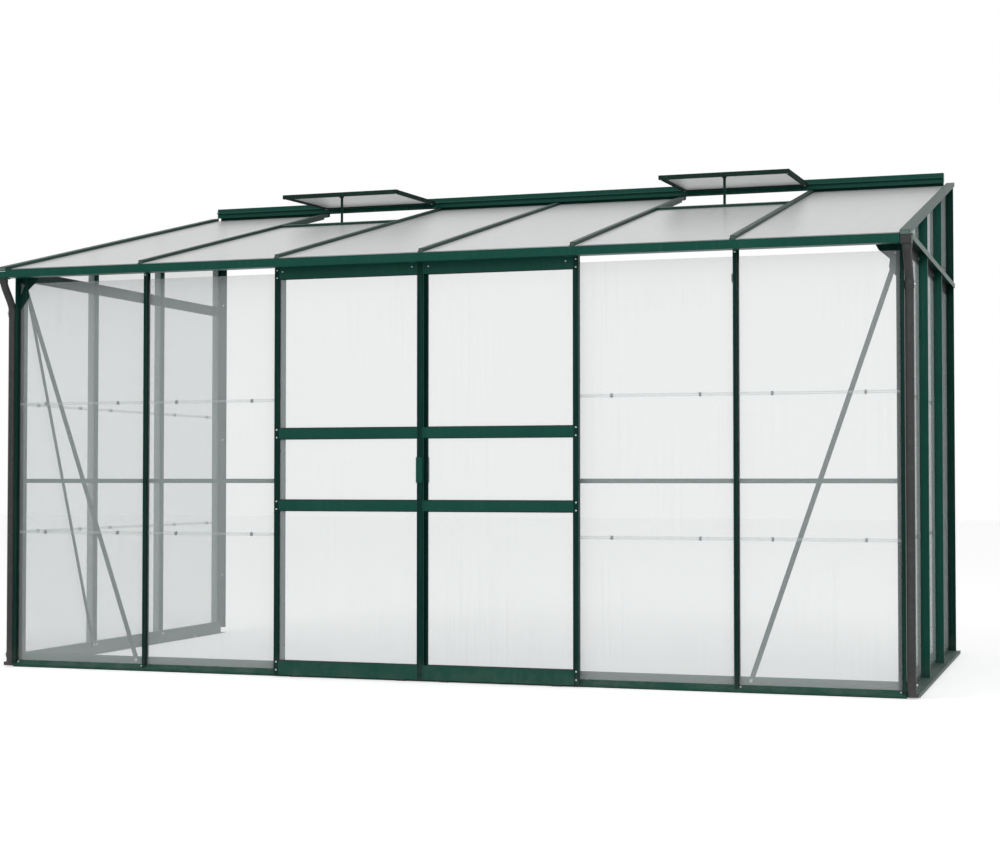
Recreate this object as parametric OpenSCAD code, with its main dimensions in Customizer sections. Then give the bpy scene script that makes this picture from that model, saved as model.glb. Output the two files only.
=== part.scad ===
// Lean-to greenhouse, six bays wide and three bays deep, standing against a house wall.
// Aluminium bars carry horticultural glass on the front and the gables, and twin-wall sheet
// on the roof. Two door leaves slide apart on rollers, and two roof vents lift on the ridge.
// X is the width, +Y points to the house wall and Z is up. The floor is at Z = 0.

/* [Overall] */
// Width of one glazing bay, between bar centres
bay = 620; // [580:5:680]
// Height of the gutter's top edge above the floor
eave_h = 1678; // [1500:5:1900]
// Slope of the roof in degrees
pitch = 13.4; // [12:0.1:16]

/* [Glazing] */
// Thickness of the wall glass
glass_t = 3; // [3:0.5:4]
// Thickness of the twin-wall roof sheet
panel_t = 4; // [4:0.5:6]
// Gap left between a pane's edge and the bar beside it
edge_gap = 1.5; // [0.5:0.5:3]
// Height of one full pane, before the next one starts
pane_h = 543; // [490:1:560]

/* [Bars] */
// Wall of the extruded sections
wall = 1.6; // [1.4:0.1:2]
// Width of a front bar's rib
rib_w = 12; // [10:1:16]
// How far a front bar stands proud of the glass
rib_d = 19; // [15:1:22]
// Width of the flange that the glass lies on
flange_w = 25; // [23:1:30]
// Depth of the bolt channel behind the flange
channel_d = 9; // [8:0.5:12]
// Outer width of the bolt channel
channel_w = 14; // [13:0.5:16]
// Opening of the bolt channel, which takes a square bolt head
channel_gap = 7; // [6.5:0.5:8]
// Depth of a gable bar outside the glass
gable_rib_d = 34; // [28:1:40]
// Depth of the narrow neck at the root of a gable bar
neck_d = 12; // [8:1:16]
// Width of that neck
neck_w = 8; // [7:0.5:10]
// Width of a roof bar's cap
roof_rib_w = 20; // [16:1:24]
// Height of a roof bar above the sheet
roof_rib_h = 12; // [10:1:16]
// Width of the verge bar's box
verge_w = 36; // [30:1:40]

/* [Sill] */
// Height of the glass seat on the sill
sill_h = 28; // [24:1:36]
// Height of the step that the bars stand on
step_h = 13; // [11:1:16]
// Reach of the sill's step in front of the bars
step_out = 3; // [2:0.5:5]
// Width of the ledge outside the gable glass
ledge_w = 53; // [46:1:62]
// Height of the bolting flange above the glass seat
upstand_h = 30; // [24:1:40]
// Reach of the sill's foot inside the wall
foot_w = 25; // [20:1:40]
// Radius of the holes for the floor anchors
anchor_r = 4.5; // [3:0.5:6]

/* [Gutter] */
// Reach of the gutter in front of the glass
gutter_out = 106; // [96:1:120]
// Height of the gutter's front face
gutter_h = 33; // [26:1:40]
// Depth of the trough from front to back
trough_w = 47; // [40:1:52]
// Outer radius of the downpipe
pipe_r = 16; // [13:0.5:19]
// Wall of the plastic pipes
pipe_wall = 1.6; // [1.2:0.1:2.4]
// Distance of the downpipe's centre in front of the glass
pipe_front = 10; // [8:1:22]

/* [Doors] */
// Gap between the door leaves and the bars behind them
door_clear = 5; // [4:0.5:8]
// Depth of the door's sections
door_t = 16; // [14:0.5:20]
// Width of a door stile
stile_w = 20.5; // [18:0.5:26]
// Height of the door's top rail
top_rail_h = 54; // [46:1:64]
// Height of a middle rail
mid_rail_h = 41; // [34:1:50]
// Height of the bottom rail
bottom_rail_h = 57; // [48:1:68]
// Height of the lower middle rail's centre
mid_low_z = 689; // [600:1:780]
// Distance from that centre up to the upper middle rail's centre
mid_pitch = 288; // [220:1:380]
// How far a leaf reaches past the door post
door_lap = 18; // [14:1:24]
// Gap under the door, above the floor
door_lift = 8; // [7:0.5:12]
// Radius of a door roller
roller_r = 9.5; // [8:0.5:10.5]
// Radius of the roller's axle
axle_r = 3; // [2.5:0.25:3.5]
// Height of the handle plate
handle_h = 100; // [80:1:140]
// Width of the handle plate
handle_w = 29; // [24:1:34]

/* [Vents] */
// Length of a vent from its hinge to its front face
vent_len = 523; // [460:1:540]
// Gap between the vent and the roof bar's cap at each side
vent_side_gap = 4; // [2:0.5:8]
// Slope of the vent as it stands open
vent_rest = 2; // [0:0.5:5]
// Thickness of the vent's side rails
vent_t = 16; // [12:1:18]
// Height of the vent's front rail
vent_front_h = 19; // [16:1:22]
// Width of the vent's rails
vent_rail_w = 20; // [16:1:24]
// Length of the stay bar
stay_len = 270; // [200:5:320]
// Width of the stay bar
stay_w = 12; // [10:1:16]

/* [Ridge] */
// Height of the ridge flashing above the roof bars
ridge_rise = 50; // [44:1:58]
// Depth of the ridge flashing from the house wall
ridge_d = 35; // [30:1:44]
// Radius of the bead that the vents hang on
bead_r = 3; // [2.5:0.25:4]

/* [Bracing] */
// Width of the flat diagonal braces
brace_w = 19; // [15:1:24]
// Thickness of the braces
brace_t = 3; // [2:0.5:4]
// Height of the waist rail's centre
waist_z = 787; // [700:1:900]
// Height of the waist rail
waist_h = 18; // [14:1:24]
// Height of the gable rail's web
gable_rail_h = 50; // [40:1:60]

/* [Hidden] */
$fn = 48;

// Colours
green = [0.10, 0.30, 0.24];
dark_green = [0.06, 0.19, 0.15];
brown = [0.24, 0.22, 0.21];
black = [0.06, 0.06, 0.06];
clear = [0.80, 0.88, 0.86, 0.35];
milky = [0.84, 0.85, 0.85, 0.8];
zinc = [0.75, 0.76, 0.77];
nylon = [0.12, 0.12, 0.13];

// Layout of the bays
half_bays = 3;
side_bays = 3;
half_w = half_bays * bay;
gable_inset = 8;
gx = half_w - gable_inset;
wall_y = side_bays * bay + 1;
tiny = 0.3;

// Bolt plane and inner face of the sheet parts, measured inwards from the glass face
bolt_plane = glass_t + wall + channel_d;
sheet_wall = 1.8;
inner_face = bolt_plane + sheet_wall;

// Corner post
corner_w = 13;
corner_back = 24;
corner_out = gx + corner_w - glass_t;

// Gutter and eave
gutter_low = eave_h - gutter_h;
roof_y = -(gutter_out - trough_w);
roof_z = eave_h + 22.2;
slope = tan(pitch);
stack_h = roof_rib_h + panel_t + wall;
bar_top = gutter_low + 11;
glass_top = gutter_low - 17;
deck_half = gx + 3.7;

// Doors
meet_gap = 0.5;
run_gap = 0.3;
lip_t = 2;
door_back = -(rib_d + door_clear);
door_face = door_back - door_t;
door_top = bar_top;
door_edge = bay + door_lap;
groove = 6;
groove_t = glass_t + tiny;
groove_back = 9.5;
track_lip_z = bar_top + 2;
track_nose_y = door_back + 1.6;
track_web_y = door_back + 12;
axle_z = track_lip_z + lip_t + roller_r + run_gap;
hanger_t = 2;
hanger_top = axle_z + 11.5;
roller_t = 6;
roller_y = door_back + 4;
roller_inset = 90;
sole_t = 2;

// Ridge and vents
ridge_face_y = wall_y - ridge_d;
ridge_h = roof_height(ridge_face_y) + ridge_rise;
hinge_y = ridge_face_y - 12;
hinge_z = ridge_h - 24;
vent_w = bay - roof_rib_w - 2 * vent_side_gap;
vent_x = bay * 1.5;
vent_sill_y0 = hinge_y - vent_len - 7;
vent_sill_y1 = vent_sill_y0 + 32;
pivot_y = -(vent_len - vent_rail_w - 14);
pivot_z = -9;
pivot_r = 2;

function roof_height(y) = roof_z + slope * (y - roof_y);
function under_bar(y) = roof_height(y) - stack_h / cos(pitch);
function along(y) = (y - roof_y) / cos(pitch);

// Placing helpers
module run_x(x0, x1) { translate([x0, 0, 0]) rotate([90, 0, 90]) linear_extrude(x1 - x0) children(); }
module run_y(y0, y1) { translate([0, y1, 0]) rotate([90, 0, 0]) linear_extrude(y1 - y0) children(); }
module run_z(z0, z1) { translate([0, 0, z0]) linear_extrude(z1 - z0) children(); }
module on_roof() { translate([0, roof_y, roof_z]) rotate([pitch, 0, 0]) children(); }
module left_side() { mirror([1, 0, 0]) children(); }
module box2(x0, y0, x1, y1) { translate([x0, y0]) square([x1 - x0, y1 - y0]); }

// A hollow box in two dimensions
module tube2(x0, y0, x1, y1, t) {
    difference() {
        box2(x0, y0, x1, y1);
        box2(x0 + t, y0 + t, x1 - t, y1 - t);
    }
}

// The bolt channel: two legs with lips turned in, open at its foot
module channel2(depth) {
    for (s = [-1, 1]) {
        box2(min(s * channel_w / 2, s * (channel_w / 2 - wall)), -depth,
             max(s * channel_w / 2, s * (channel_w / 2 - wall)), 0);
        box2(min(s * channel_w / 2, s * channel_gap / 2), -depth,
             max(s * channel_w / 2, s * channel_gap / 2), -depth + wall);
    }
}

// Glazing bar: a hollow rib outside, a flange under the glass and a bolt channel inside.
// The glass face is at 0 and the outside is positive.
module bar2(rw, rd, t, with_channel) {
    difference() {
        union() {
            tube2(-rw / 2, -t - wall, rw / 2, rd, wall);
            box2(-flange_w / 2, -t - wall, flange_w / 2, -t);
        }
        for (s = [-1, 1]) translate([s * rw / 2, wall * 1.5]) square([1.2, 1.6], center = true);
    }
    if (with_channel) translate([0, -t - wall]) channel2(channel_d);
}

// Gable bar: the same, with a narrow neck at the glass and a wider head outside
module gable2(with_channel) {
    tube2(-rib_w / 2, neck_d, rib_w / 2, gable_rib_d, wall);
    difference() {
        box2(-neck_w / 2, -glass_t - wall, neck_w / 2, neck_d + wall);
        box2(-neck_w / 2 + wall, -glass_t, neck_w / 2 - wall, neck_d);
    }
    box2(-flange_w / 2, -glass_t - wall, flange_w / 2, -glass_t);
    if (with_channel) translate([0, -glass_t - wall]) channel2(channel_d);
}

// Sill outline that the feet of the bars are cut back to, shared by both walls
module sill_seat2(run) {
    polygon([[-run, step_h - 20], [-run, step_h], [0, sill_h], [80, sill_h], [80, step_h - 20]]);
}

// Bolting flange and foot, which both sills share. Inwards is positive.
module sill_inner2() {
    box2(bolt_plane, 0, inner_face, sill_h + upstand_h);
    box2(inner_face - 1, 0, inner_face + foot_w, sole_t);
}

// Front sill: one sheet bent into a hanging lip, a step, a sloping band and the glass seat
lip_low = 4.5;
sill_front = -(rib_d + step_out);
sill_web = -15;
band_k = sheet_wall * tan(atan2(sill_h - step_h, rib_d) / 2);
module front_sill2() {
    sill_inner2();
    box2(sill_web, 0, bolt_plane + 1, sole_t);
    box2(sill_web, 0, sill_web + sheet_wall, step_h + 2.5);
    polygon([[sill_front, lip_low], [sill_front + sheet_wall, lip_low],
             [sill_front + sheet_wall, step_h - sheet_wall], [-rib_d + band_k, step_h - sheet_wall],
             [band_k, sill_h - sheet_wall], [bolt_plane + 1, sill_h - sheet_wall], [bolt_plane + 1, sill_h],
             [0, sill_h], [-rib_d, step_h], [sill_front, step_h]]);
}

anchor_y = inner_face + foot_w / 2;
module anchor_hole() { cylinder(r = anchor_r, h = 3 * sole_t, center = true); }
module bolt_hole_y() { rotate([90, 0, 0]) cylinder(r = 3.2, h = 40, center = true); }
module bolt_hole_x() { rotate([0, 90, 0]) cylinder(r = 3.2, h = 40, center = true); }
sill_bolt_z = sill_h + upstand_h / 2;
eave_bolt_z = gutter_low + 27;
brace_bolt_z = gutter_low - 17;
front_bolt_x = [gx - glass_t - 9, 2 * bay, bay];
corner_bolt_y = corner_back + 11;
brace_foot_x = 2 * bay + 50;
brace_foot_y = bay - 30;

module front_sill() {
    color(green) difference() {
        run_x(-corner_out, corner_out) front_sill2();
        for (s = [-1, 1]) {
            translate([s * (gx - glass_t - wall - 0.4 + 50) - 50, bolt_plane - 1, sill_h]) cube([100, 60, 60]);
            translate([s * (gx - inner_face - foot_w - 1 + 50) - 50, inner_face, -1]) cube([100, 60, 60]);
            translate([s * brace_foot_x, inner_face, sill_bolt_z]) bolt_hole_y();
        }
        for (i = [-half_bays + 0.5 : 1 : half_bays]) translate([i * bay, anchor_y, sole_t]) anchor_hole();
        for (x = front_bolt_x, s = [-1, 1]) translate([s * x, inner_face, sill_bolt_z]) bolt_hole_y();
    }
}

// Side sill: the same inner part, with a wide ledge and a lip outside
module side_sill2() {
    mirror([1, 0]) sill_inner2();
    box2(-bolt_plane - 1, sill_h - sheet_wall, 0, sill_h);
    box2(-sheet_wall, step_h - 1, 0, sill_h);
    box2(-bolt_plane - 1, step_h - sheet_wall, ledge_w, step_h);
    box2(ledge_w - 2, 0, ledge_w, step_h + 2);
}

side_sill_y = corner_back + 0.4;
module side_sill() {
    color(green) difference() {
        translate([gx, 0, 0]) run_y(side_sill_y, wall_y) side_sill2();
        for (i = [0.5 : 1 : side_bays]) translate([gx - anchor_y, i * bay, sole_t]) anchor_hole();
        for (i = [1 : side_bays - 1]) translate([gx - inner_face, i * bay, sill_bolt_z]) bolt_hole_x();
        translate([gx - inner_face, brace_foot_y, sill_bolt_z]) bolt_hole_x();
        translate([gx - inner_face - 1, wall_y - wall - 0.4, sill_h]) cube([20, 10, upstand_h + 1]);
    }
}

// Corner post: a deep narrow rib, flanges for both panes and a bolt channel
module corner2() {
    tube2(gx - glass_t, -rib_d, corner_out, corner_back, wall);
    box2(gx - glass_t - 18, glass_t, gx - glass_t, glass_t + wall);
    box2(gx - glass_t - wall, glass_t + wall, gx - glass_t, corner_bolt_y + 8);
    translate([front_bolt_x[0], glass_t + wall]) mirror([0, 1]) channel2(channel_d);
    translate([gx - glass_t - wall, corner_bolt_y]) rotate(-90) channel2(channel_d);
}

// What the front sill takes away from the foot of a front bar
module front_foot_cut() { run_x(-half_w - 50, half_w + 50) sill_seat2(rib_d); }

// Above the rib's end only the flange and the channel go on, up to the underside of the eave deck
module head_cut(x_out) {
    translate([-half_w - 50, -50, bar_top]) cube([2 * half_w + 100, 50 + glass_t, 100]);
    translate([x_out, -50, bar_top]) cube([200, 200, 100]);
    on_roof() translate([-half_w - 50, -50, -stack_h - sheet_wall]) cube([2 * half_w + 100, 300, 200]);
}

module corner_post() {
    color(dark_green) difference() {
        run_z(step_h, eave_h + 60) corner2();
        front_foot_cut();
        head_cut(gx - glass_t);
    }
}

module front_bar(x) {
    color(dark_green) difference() {
        translate([x, 0, 0]) run_z(step_h, eave_h + 60) mirror([0, 1]) bar2(rib_w, rib_d, glass_t, true);
        front_foot_cut();
        head_cut(half_w);
    }
}

// Gable bars stand on the ledge and run up to the verge bar
module gable_foot_cut() { translate([gx, 0, 0]) run_y(0, wall_y + 10) mirror([1, 0]) sill_seat2(0); }
module under_verge() {
    on_roof() translate([0, -200, -stack_h]) cube([2 * half_w, along(wall_y) + 400, 800]);
}

module gable_bar(y) {
    difference() {
        translate([gx, y, 0]) run_z(step_h, roof_height(y) + 20) rotate(-90) gable2(true);
        gable_foot_cut();
        under_verge();
    }
}

module gable_bars() { color(dark_green) for (i = [1 : side_bays - 1]) gable_bar(i * bay); }

// Wall post: half a gable bar with a flat flange against the house wall
post_flange = 40;
wall_hole_z = [300, 1000, 1700];
module wall_post() {
    color(dark_green) difference() {
        run_z(step_h, roof_height(wall_y)) {
            tube2(gx + neck_d, wall_y - rib_w, gx + gable_rib_d, wall_y, wall);
            box2(gx - glass_t, wall_y - rib_w + 4, gx + neck_d + wall, wall_y - rib_w + 4 + wall);
            box2(gx - glass_t - wall, wall_y - rib_w - 8, gx - glass_t, wall_y);
            box2(gx - glass_t - post_flange, wall_y - wall, gx + neck_d + wall, wall_y);
        }
        gable_foot_cut();
        under_verge();
        on_roof() translate([0, along(wall_y) - 60, -stack_h - 2.6]) cube([ridge_half + tiny, 120, 100]);
        for (z = wall_hole_z) translate([gx - glass_t - post_flange / 2, wall_y, z])
            rotate([90, 0, 0]) cylinder(r = 3.5, h = 10, center = true);
    }
}

// Eave: the gutter in front, a sloping deck under the roof and a bolting hem inside
deck_t = sheet_wall / cos(pitch);
hem_low = gutter_low + 13;
module eave2() {
    box2(-gutter_out, gutter_low, -gutter_out + 2, eave_h);
    box2(-gutter_out, eave_h - 2, -gutter_out + 6, eave_h);
    box2(-gutter_out, gutter_low, roof_y + 2, gutter_low + 2);
    polygon([[roof_y, gutter_low], [roof_y + 2, gutter_low], [roof_y + 2, under_bar(roof_y + 2)],
             [roof_y, under_bar(roof_y)]]);
    polygon([[roof_y, under_bar(roof_y)], [roof_y, under_bar(roof_y) - deck_t],
             [inner_face, under_bar(inner_face) - deck_t], [inner_face, under_bar(inner_face)]]);
    polygon([[bolt_plane, hem_low], [inner_face, hem_low],
             [inner_face, under_bar(inner_face)], [bolt_plane, under_bar(bolt_plane)]]);
}

module eave_gutter() {
    color(green) difference() {
        run_x(-deck_half, deck_half) eave2();
        for (s = [-1, 1]) {
            translate([s * (gx - glass_t - wall - 0.4 + 50) - 50, bolt_plane - 1, hem_low - 1])
                cube([100, 10, under_bar(bolt_plane - 1) - deck_t - hem_low + 1]);
            for (x = front_bolt_x) translate([s * x, inner_face, eave_bolt_z]) bolt_hole_y();
        }
    }
}

// Door track: a lip that the rollers run on, a nose that keeps them in and a flange to the eave
module track2() {
    web = track_web_y + wall;
    polygon([[track_nose_y, track_lip_z], [web, track_lip_z], [web, under_bar(web) - deck_t - wall],
             [0, under_bar(0) - deck_t - wall], [0, under_bar(0) - deck_t],
             [track_web_y, under_bar(track_web_y) - deck_t], [track_web_y, track_lip_z + lip_t],
             [track_nose_y + wall, track_lip_z + lip_t], [track_nose_y + wall, track_lip_z + 4],
             [track_nose_y, track_lip_z + 4]]);
}

module door_track() {
    color(dark_green) {
        run_x(-2 * bay - 10, 2 * bay + 10) track2();
        for (s = [-1, 1]) translate([s * (2 * bay + 2) - 5, track_nose_y, track_lip_z])
            cube([10, track_web_y - track_nose_y + 1, 12]);
    }
}

// Gable rail: a web between the panes and a ledge outside, punched where the bars pass
rail_top = eave_h + 12;
module gable_rail() {
    color(green) difference() {
        translate([gx, 0, 0]) {
            run_y(corner_back + 0.4, wall_y - rib_w + 4) box2(-glass_t, rail_top - gable_rail_h, 0, rail_top);
            run_y(glass_t + wall, wall_y - rib_w + 4) box2(0, rail_top - 3, gable_rib_d + 4, rail_top);
        }
        for (i = [1 : side_bays - 1]) translate([gx, i * bay, 0]) run_z(0, 3000) {
            box2(-30, -neck_w / 2 - tiny, neck_d, neck_w / 2 + tiny);
            box2(neck_d - tiny, -rib_w / 2 - tiny, gable_rib_d + tiny, rib_w / 2 + tiny);
        }
        translate([gx + neck_d - tiny, wall_y - rib_w - tiny, 0]) cube([60, 40, 3000]);
    }
}

// Verge bar: a hollow box outside the gable with a flange under the roof sheet
module verge_bar() {
    color(green) on_roof() translate([gx, 0, 0]) run_y(along(-gutter_out), along(wall_y) - 4.5) {
        tube2(4, -stack_h, 4 + verge_w, 0, wall);
        box2(-8, -stack_h, 4 + wall, -stack_h + wall);
    }
}

// Roof bar: its cap and flange run the whole way, its bolt channel stops short at both ends
channel_start = along(inner_face + 4);
channel_end = along(wall_y - 60);
module roof_bar(i) {
    color(green) on_roof() translate([i * bay, 0, 0]) {
        run_y(0, along(wall_y - 8)) translate([0, -roof_rib_h]) bar2(roof_rib_w, roof_rib_h, panel_t, false);
        run_y(channel_start, channel_end) translate([0, -stack_h]) channel2(channel_d);
    }
}

// Ridge bar: a flashing open to the front, with a bead for the vents along its face
module ridge2() {
    box2(wall_y - 2, under_bar(wall_y - 2) - 2, wall_y, ridge_h);
    box2(ridge_face_y, ridge_h - 2, wall_y, ridge_h);
    box2(ridge_face_y, roof_height(ridge_face_y) + 3, ridge_face_y + 2, ridge_h);
    translate([hinge_y, hinge_z]) circle(r = bead_r);
    box2(hinge_y, hinge_z - 1.2, ridge_face_y + 1, hinge_z + 1.2);
}

module ridge_seat2() {
    polygon([[ridge_face_y, under_bar(ridge_face_y)], [ridge_face_y, under_bar(ridge_face_y) - 2],
             [wall_y - 1, under_bar(wall_y - 1) - 2], [wall_y - 1, under_bar(wall_y - 1)]]);
}

ridge_half = half_w - 16;
ridge_hole_z = ridge_h - 16;
module ridge_bar() {
    color(green) difference() {
        run_x(-ridge_half, ridge_half) {
            ridge2();
            ridge_seat2();
        }
        for (s = [-1, 1]) translate([s * vent_x - vent_w / 2, wall_y - ridge_d - 5, 0])
            cube([vent_w, ridge_d + 10, roof_height(ridge_face_y) + 3]);
        for (i = [-half_bays + 0.5 : 1 : half_bays]) translate([i * bay, wall_y, ridge_hole_z])
            rotate([90, 0, 0]) cylinder(r = 3.5, h = 10, center = true);
    }
}

// Gutter outlet: an end box over the gutter's end and a swan neck to the downpipe
clip_wall = 2;
pipe_x = corner_out + pipe_r + clip_wall;
outlet_w = 42;
outlet_x = gx + 4;
outlet_y = roof_y - trough_w / 2 + 1;
outlet_low = gutter_low - 4;
outlet_top = roof_height(-gutter_out) - stack_h / cos(pitch) - 0.5;
neck_top = outlet_low - 12;
neck_low = gutter_low - 116;
pipe_top = gutter_low - 143;
neck_run = norm([-pipe_front - outlet_y, neck_top - neck_low]);
neck_tilt = atan2(-pipe_front - outlet_y, neck_top - neck_low);

module half_space(y, z, up) {
    translate([pipe_x, y, z]) rotate([neck_tilt / 2, 0, 0]) translate([-100, -100, up ? 0 : -200]) cube(200);
}
// A twelve-sided length of pipe with flats across both axes
module pipe_stick(r, h) {
    rotate([0, 0, 15]) cylinder(r = r, h = h, $fn = 12);
}
module neck_solid(r, more) {
    intersection() {
        translate([pipe_x, outlet_y, neck_top - r]) pipe_stick(r, outlet_low + more - neck_top + r);
        half_space(outlet_y, neck_top, true);
    }
    intersection() {
        translate([pipe_x, outlet_y, neck_top]) rotate([180 + neck_tilt, 0, 0])
            translate([0, 0, -r]) pipe_stick(r, neck_run + 2 * r);
        half_space(outlet_y, neck_top, false);
        half_space(-pipe_front, neck_low, true);
    }
    intersection() {
        translate([pipe_x, -pipe_front, pipe_top]) pipe_stick(r, neck_low + r - pipe_top);
        half_space(-pipe_front, neck_low, false);
    }
}

module gutter_outlet() {
    color(brown) difference() {
        union() {
            translate([outlet_x, -gutter_out, outlet_low]) cube([outlet_w, trough_w - 1, outlet_top - outlet_low]);
            neck_solid(pipe_r, 2);
        }
        translate([outlet_x - 2, -gutter_out + 2, gutter_low]) cube([outlet_w, trough_w - 5, gutter_h + 6]);
        neck_solid(pipe_r - pipe_wall, 6);
    }
}

// Downpipe, its clips and its shoe
shoe_z = 34;
module ring(x, y, z0, z1, r_out, r_in) {
    translate([x, y, z0]) difference() {
        cylinder(r = r_out, h = z1 - z0);
        translate([0, 0, -1]) cylinder(r = r_in, h = z1 - z0 + 2);
    }
}

module downpipe() { color(brown) ring(pipe_x, -pipe_front, shoe_z, pipe_top, pipe_r, pipe_r - pipe_wall); }

clip_z = [pipe_top - 15, 40];
clip_h = [30, 20];
module pipe_clip(i) {
    difference() {
        union() {
            translate([pipe_x, -pipe_front, clip_z[i]]) cylinder(r = pipe_r + clip_wall, h = clip_h[i]);
            translate([corner_out, -pipe_front + 1, clip_z[i]]) cube([pipe_r, 10, clip_h[i]]);
            translate([pipe_x, -pipe_front, clip_z[i] + clip_h[i] / 2]) rotate([0, 90, 0])
                cylinder(r = 4, h = pipe_r + clip_wall + 4);
        }
        translate([pipe_x, -pipe_front, clip_z[i] - 1]) cylinder(r = pipe_r, h = clip_h[i] + 2);
    }
}

module pipe_clips() { color(brown) for (i = [0, 1]) { pipe_clip(i); left_side() pipe_clip(i); } }

shoe_low = 5;
spout_w = 24;
spout_h = 15;
module shoe() {
    translate([pipe_x, -pipe_front, shoe_low]) difference() {
        union() {
            cylinder(r = pipe_r, h = shoe_z - shoe_low);
            translate([0, -spout_w / 2, 0]) cube([pipe_r + 8, spout_w, spout_h]);
        }
        translate([0, 0, 2]) cylinder(r = pipe_r - 3, h = shoe_z);
        translate([0, 2 - spout_w / 2, 2]) cube([2 * pipe_r, spout_w - 4, spout_h - 4]);
    }
}

module downpipe_shoes() { color(black) { shoe(); left_side() shoe(); } }

// Waist rails and braces lie on the inner faces of the bolt channels
module waist_rail() {
    difference() {
        translate([bay - 8, bolt_plane, waist_z - waist_h / 2])
            cube([gx - glass_t - wall - bay + 8, sheet_wall, waist_h]);
        for (x = front_bolt_x) translate([x, bolt_plane, waist_z]) bolt_hole_y();
    }
}
module waist_rails() { color(green) { waist_rail(); left_side() waist_rail(); } }

// A flat bar between two points of a plane, with round ends and a bolt hole in each
module flat_bar(a, b) {
    l = norm(b - a);
    translate([a[0], a[1]]) rotate(atan2(b[1] - a[1], b[0] - a[0])) difference() {
        union() {
            translate([0, -brace_w / 2]) square([l, brace_w]);
            circle(d = brace_w);
            translate([l, 0]) circle(d = brace_w);
        }
        circle(r = 3.2);
        translate([l, 0]) circle(r = 3.2);
    }
}

module front_brace() {
    translate([0, inner_face + brace_t, 0]) rotate([90, 0, 0]) linear_extrude(brace_t) difference() {
        flat_bar([front_bolt_x[0], brace_bolt_z], [brace_foot_x, sill_bolt_z]);
        translate([gx - glass_t - wall - 0.4, 0]) square([40, 3000]);
    }
}
module front_braces() { color(green) { front_brace(); left_side() front_brace(); } }

module gable_brace() {
    translate([gx - inner_face - brace_t, 0, 0]) rotate([90, 0, 90]) linear_extrude(brace_t)
        flat_bar([corner_bolt_y, brace_bolt_z - 40], [brace_foot_y, sill_bolt_z]);
}
module gable_braces() { color(green) { gable_brace(); left_side() gable_brace(); } }

// Corner gusset: an open plate with a stepped long edge. The left one lies outside the glass
// against the post's rib, and the right one inside, over the end of the brace.
gusset_t = 2;
module gusset(x1, y, top) {
    translate([0, y + gusset_t, 0]) rotate([90, 0, 0]) linear_extrude(gusset_t) difference() {
        polygon([[x1, top], [x1 - 97, top], [x1 - 81, gutter_low - 10],
                 [x1 - 40, gutter_low - 45], [x1 - 44, gutter_low - 76], [x1, gutter_low - 134]]);
        polygon([[x1 - 4, gutter_low - 12], [x1 - 23, gutter_low - 22], [x1 - 4, gutter_low - 70]]);
    }
}
module corner_gussets() {
    color(dark_green) {
        left_side() gusset(gx - glass_t, -gusset_t - 0.3, gutter_low + 17);
        difference() {
            gusset(gx - glass_t - wall, inner_face + brace_t, eave_bolt_z - 8);
            translate([front_bolt_x[0], inner_face, brace_bolt_z]) bolt_hole_y();
        }
    }
}

// Wall glass: rows of panes standing edge on edge
pane_joint = 1;
function pane_rows(top) = [for (i = [0 : 2]) [sill_h + i * pane_h,
    i == 2 ? top : sill_h + (i + 1) * pane_h - pane_joint]];
bar_clear = rib_w / 2 + edge_gap;
module front_bay_glass(x0, x1) {
    for (r = pane_rows(glass_top)) translate([x0, 0, r[0]]) cube([x1 - x0, glass_t, r[1] - r[0]]);
}
module front_glass() {
    color(clear) for (k = [0, 1]) mirror([k, 0, 0]) {
        front_bay_glass(bay + bar_clear, 2 * bay - bar_clear);
        front_bay_glass(2 * bay + bar_clear, gx - glass_t - edge_gap);
    }
}

neck_clear = neck_w / 2 + edge_gap;
gable_edges = [for (i = [0 : side_bays - 1]) [i == 0 ? corner_back + edge_gap : i * bay + neck_clear,
    i == side_bays - 1 ? wall_y - rib_w + 4 - edge_gap : (i + 1) * bay - neck_clear]];
module gable_panes() {
    for (e = gable_edges) {
        for (r = pane_rows(rail_top - gable_rail_h)) translate([gx - glass_t, e[0], r[0]])
            cube([glass_t, e[1] - e[0], r[1] - r[0]]);
        translate([gx - glass_t, 0, 0]) rotate([90, 0, 90]) linear_extrude(glass_t)
            polygon([[e[0], rail_top], [e[1], rail_top], [e[1], under_bar(e[1]) - 1], [e[0], under_bar(e[0]) - 1]]);
    }
}
module gable_glass() { color(clear) { gable_panes(); left_side() gable_panes(); } }

// Roof sheets, full length in the plain bays and up to the sill in the vent bays
module roof_sheet(x0, x1, y1) {
    on_roof() translate([x0, -6, -roof_rib_h - panel_t]) cube([x1 - x0, along(y1) + 6, panel_t]);
}
roof_clear = roof_rib_w / 2 + edge_gap;
module roof_panels() {
    color(milky) for (k = [0, 1]) mirror([k, 0, 0]) {
        roof_sheet(roof_clear, bay - roof_clear, wall_y - 10);
        roof_sheet(bay + roof_clear, 2 * bay - roof_clear, vent_sill_y0);
        roof_sheet(2 * bay + roof_clear, gx + 4 - edge_gap, wall_y - 10);
    }
}

// Vent sill with a lip over the sheet and a peg for the stay
peg_x = -18;
peg_h = 10;
peg_drop = 16;
module vent_sill() {
    x1 = bay / 2 - roof_rib_w / 2 - tiny;
    on_roof() translate([vent_x, along(vent_sill_y0), 0]) {
        run_x(-x1, x1) {
            tube2(0, -roof_rib_h - panel_t, along(vent_sill_y1) - along(vent_sill_y0), -2, wall);
            box2(-9, -roof_rib_h, wall, -roof_rib_h + wall);
        }
    }
    translate([vent_x + peg_x, vent_sill_y1 + 2, roof_height(vent_sill_y1) - peg_drop]) {
        translate([-6, -4, 0]) cube([12, 14, 2]);
        translate([0, 5, 1]) cylinder(r = 2.5, h = peg_h);
    }
}
module vent_sills() { color(dark_green) { vent_sill(); left_side() vent_sill(); } }

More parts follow.
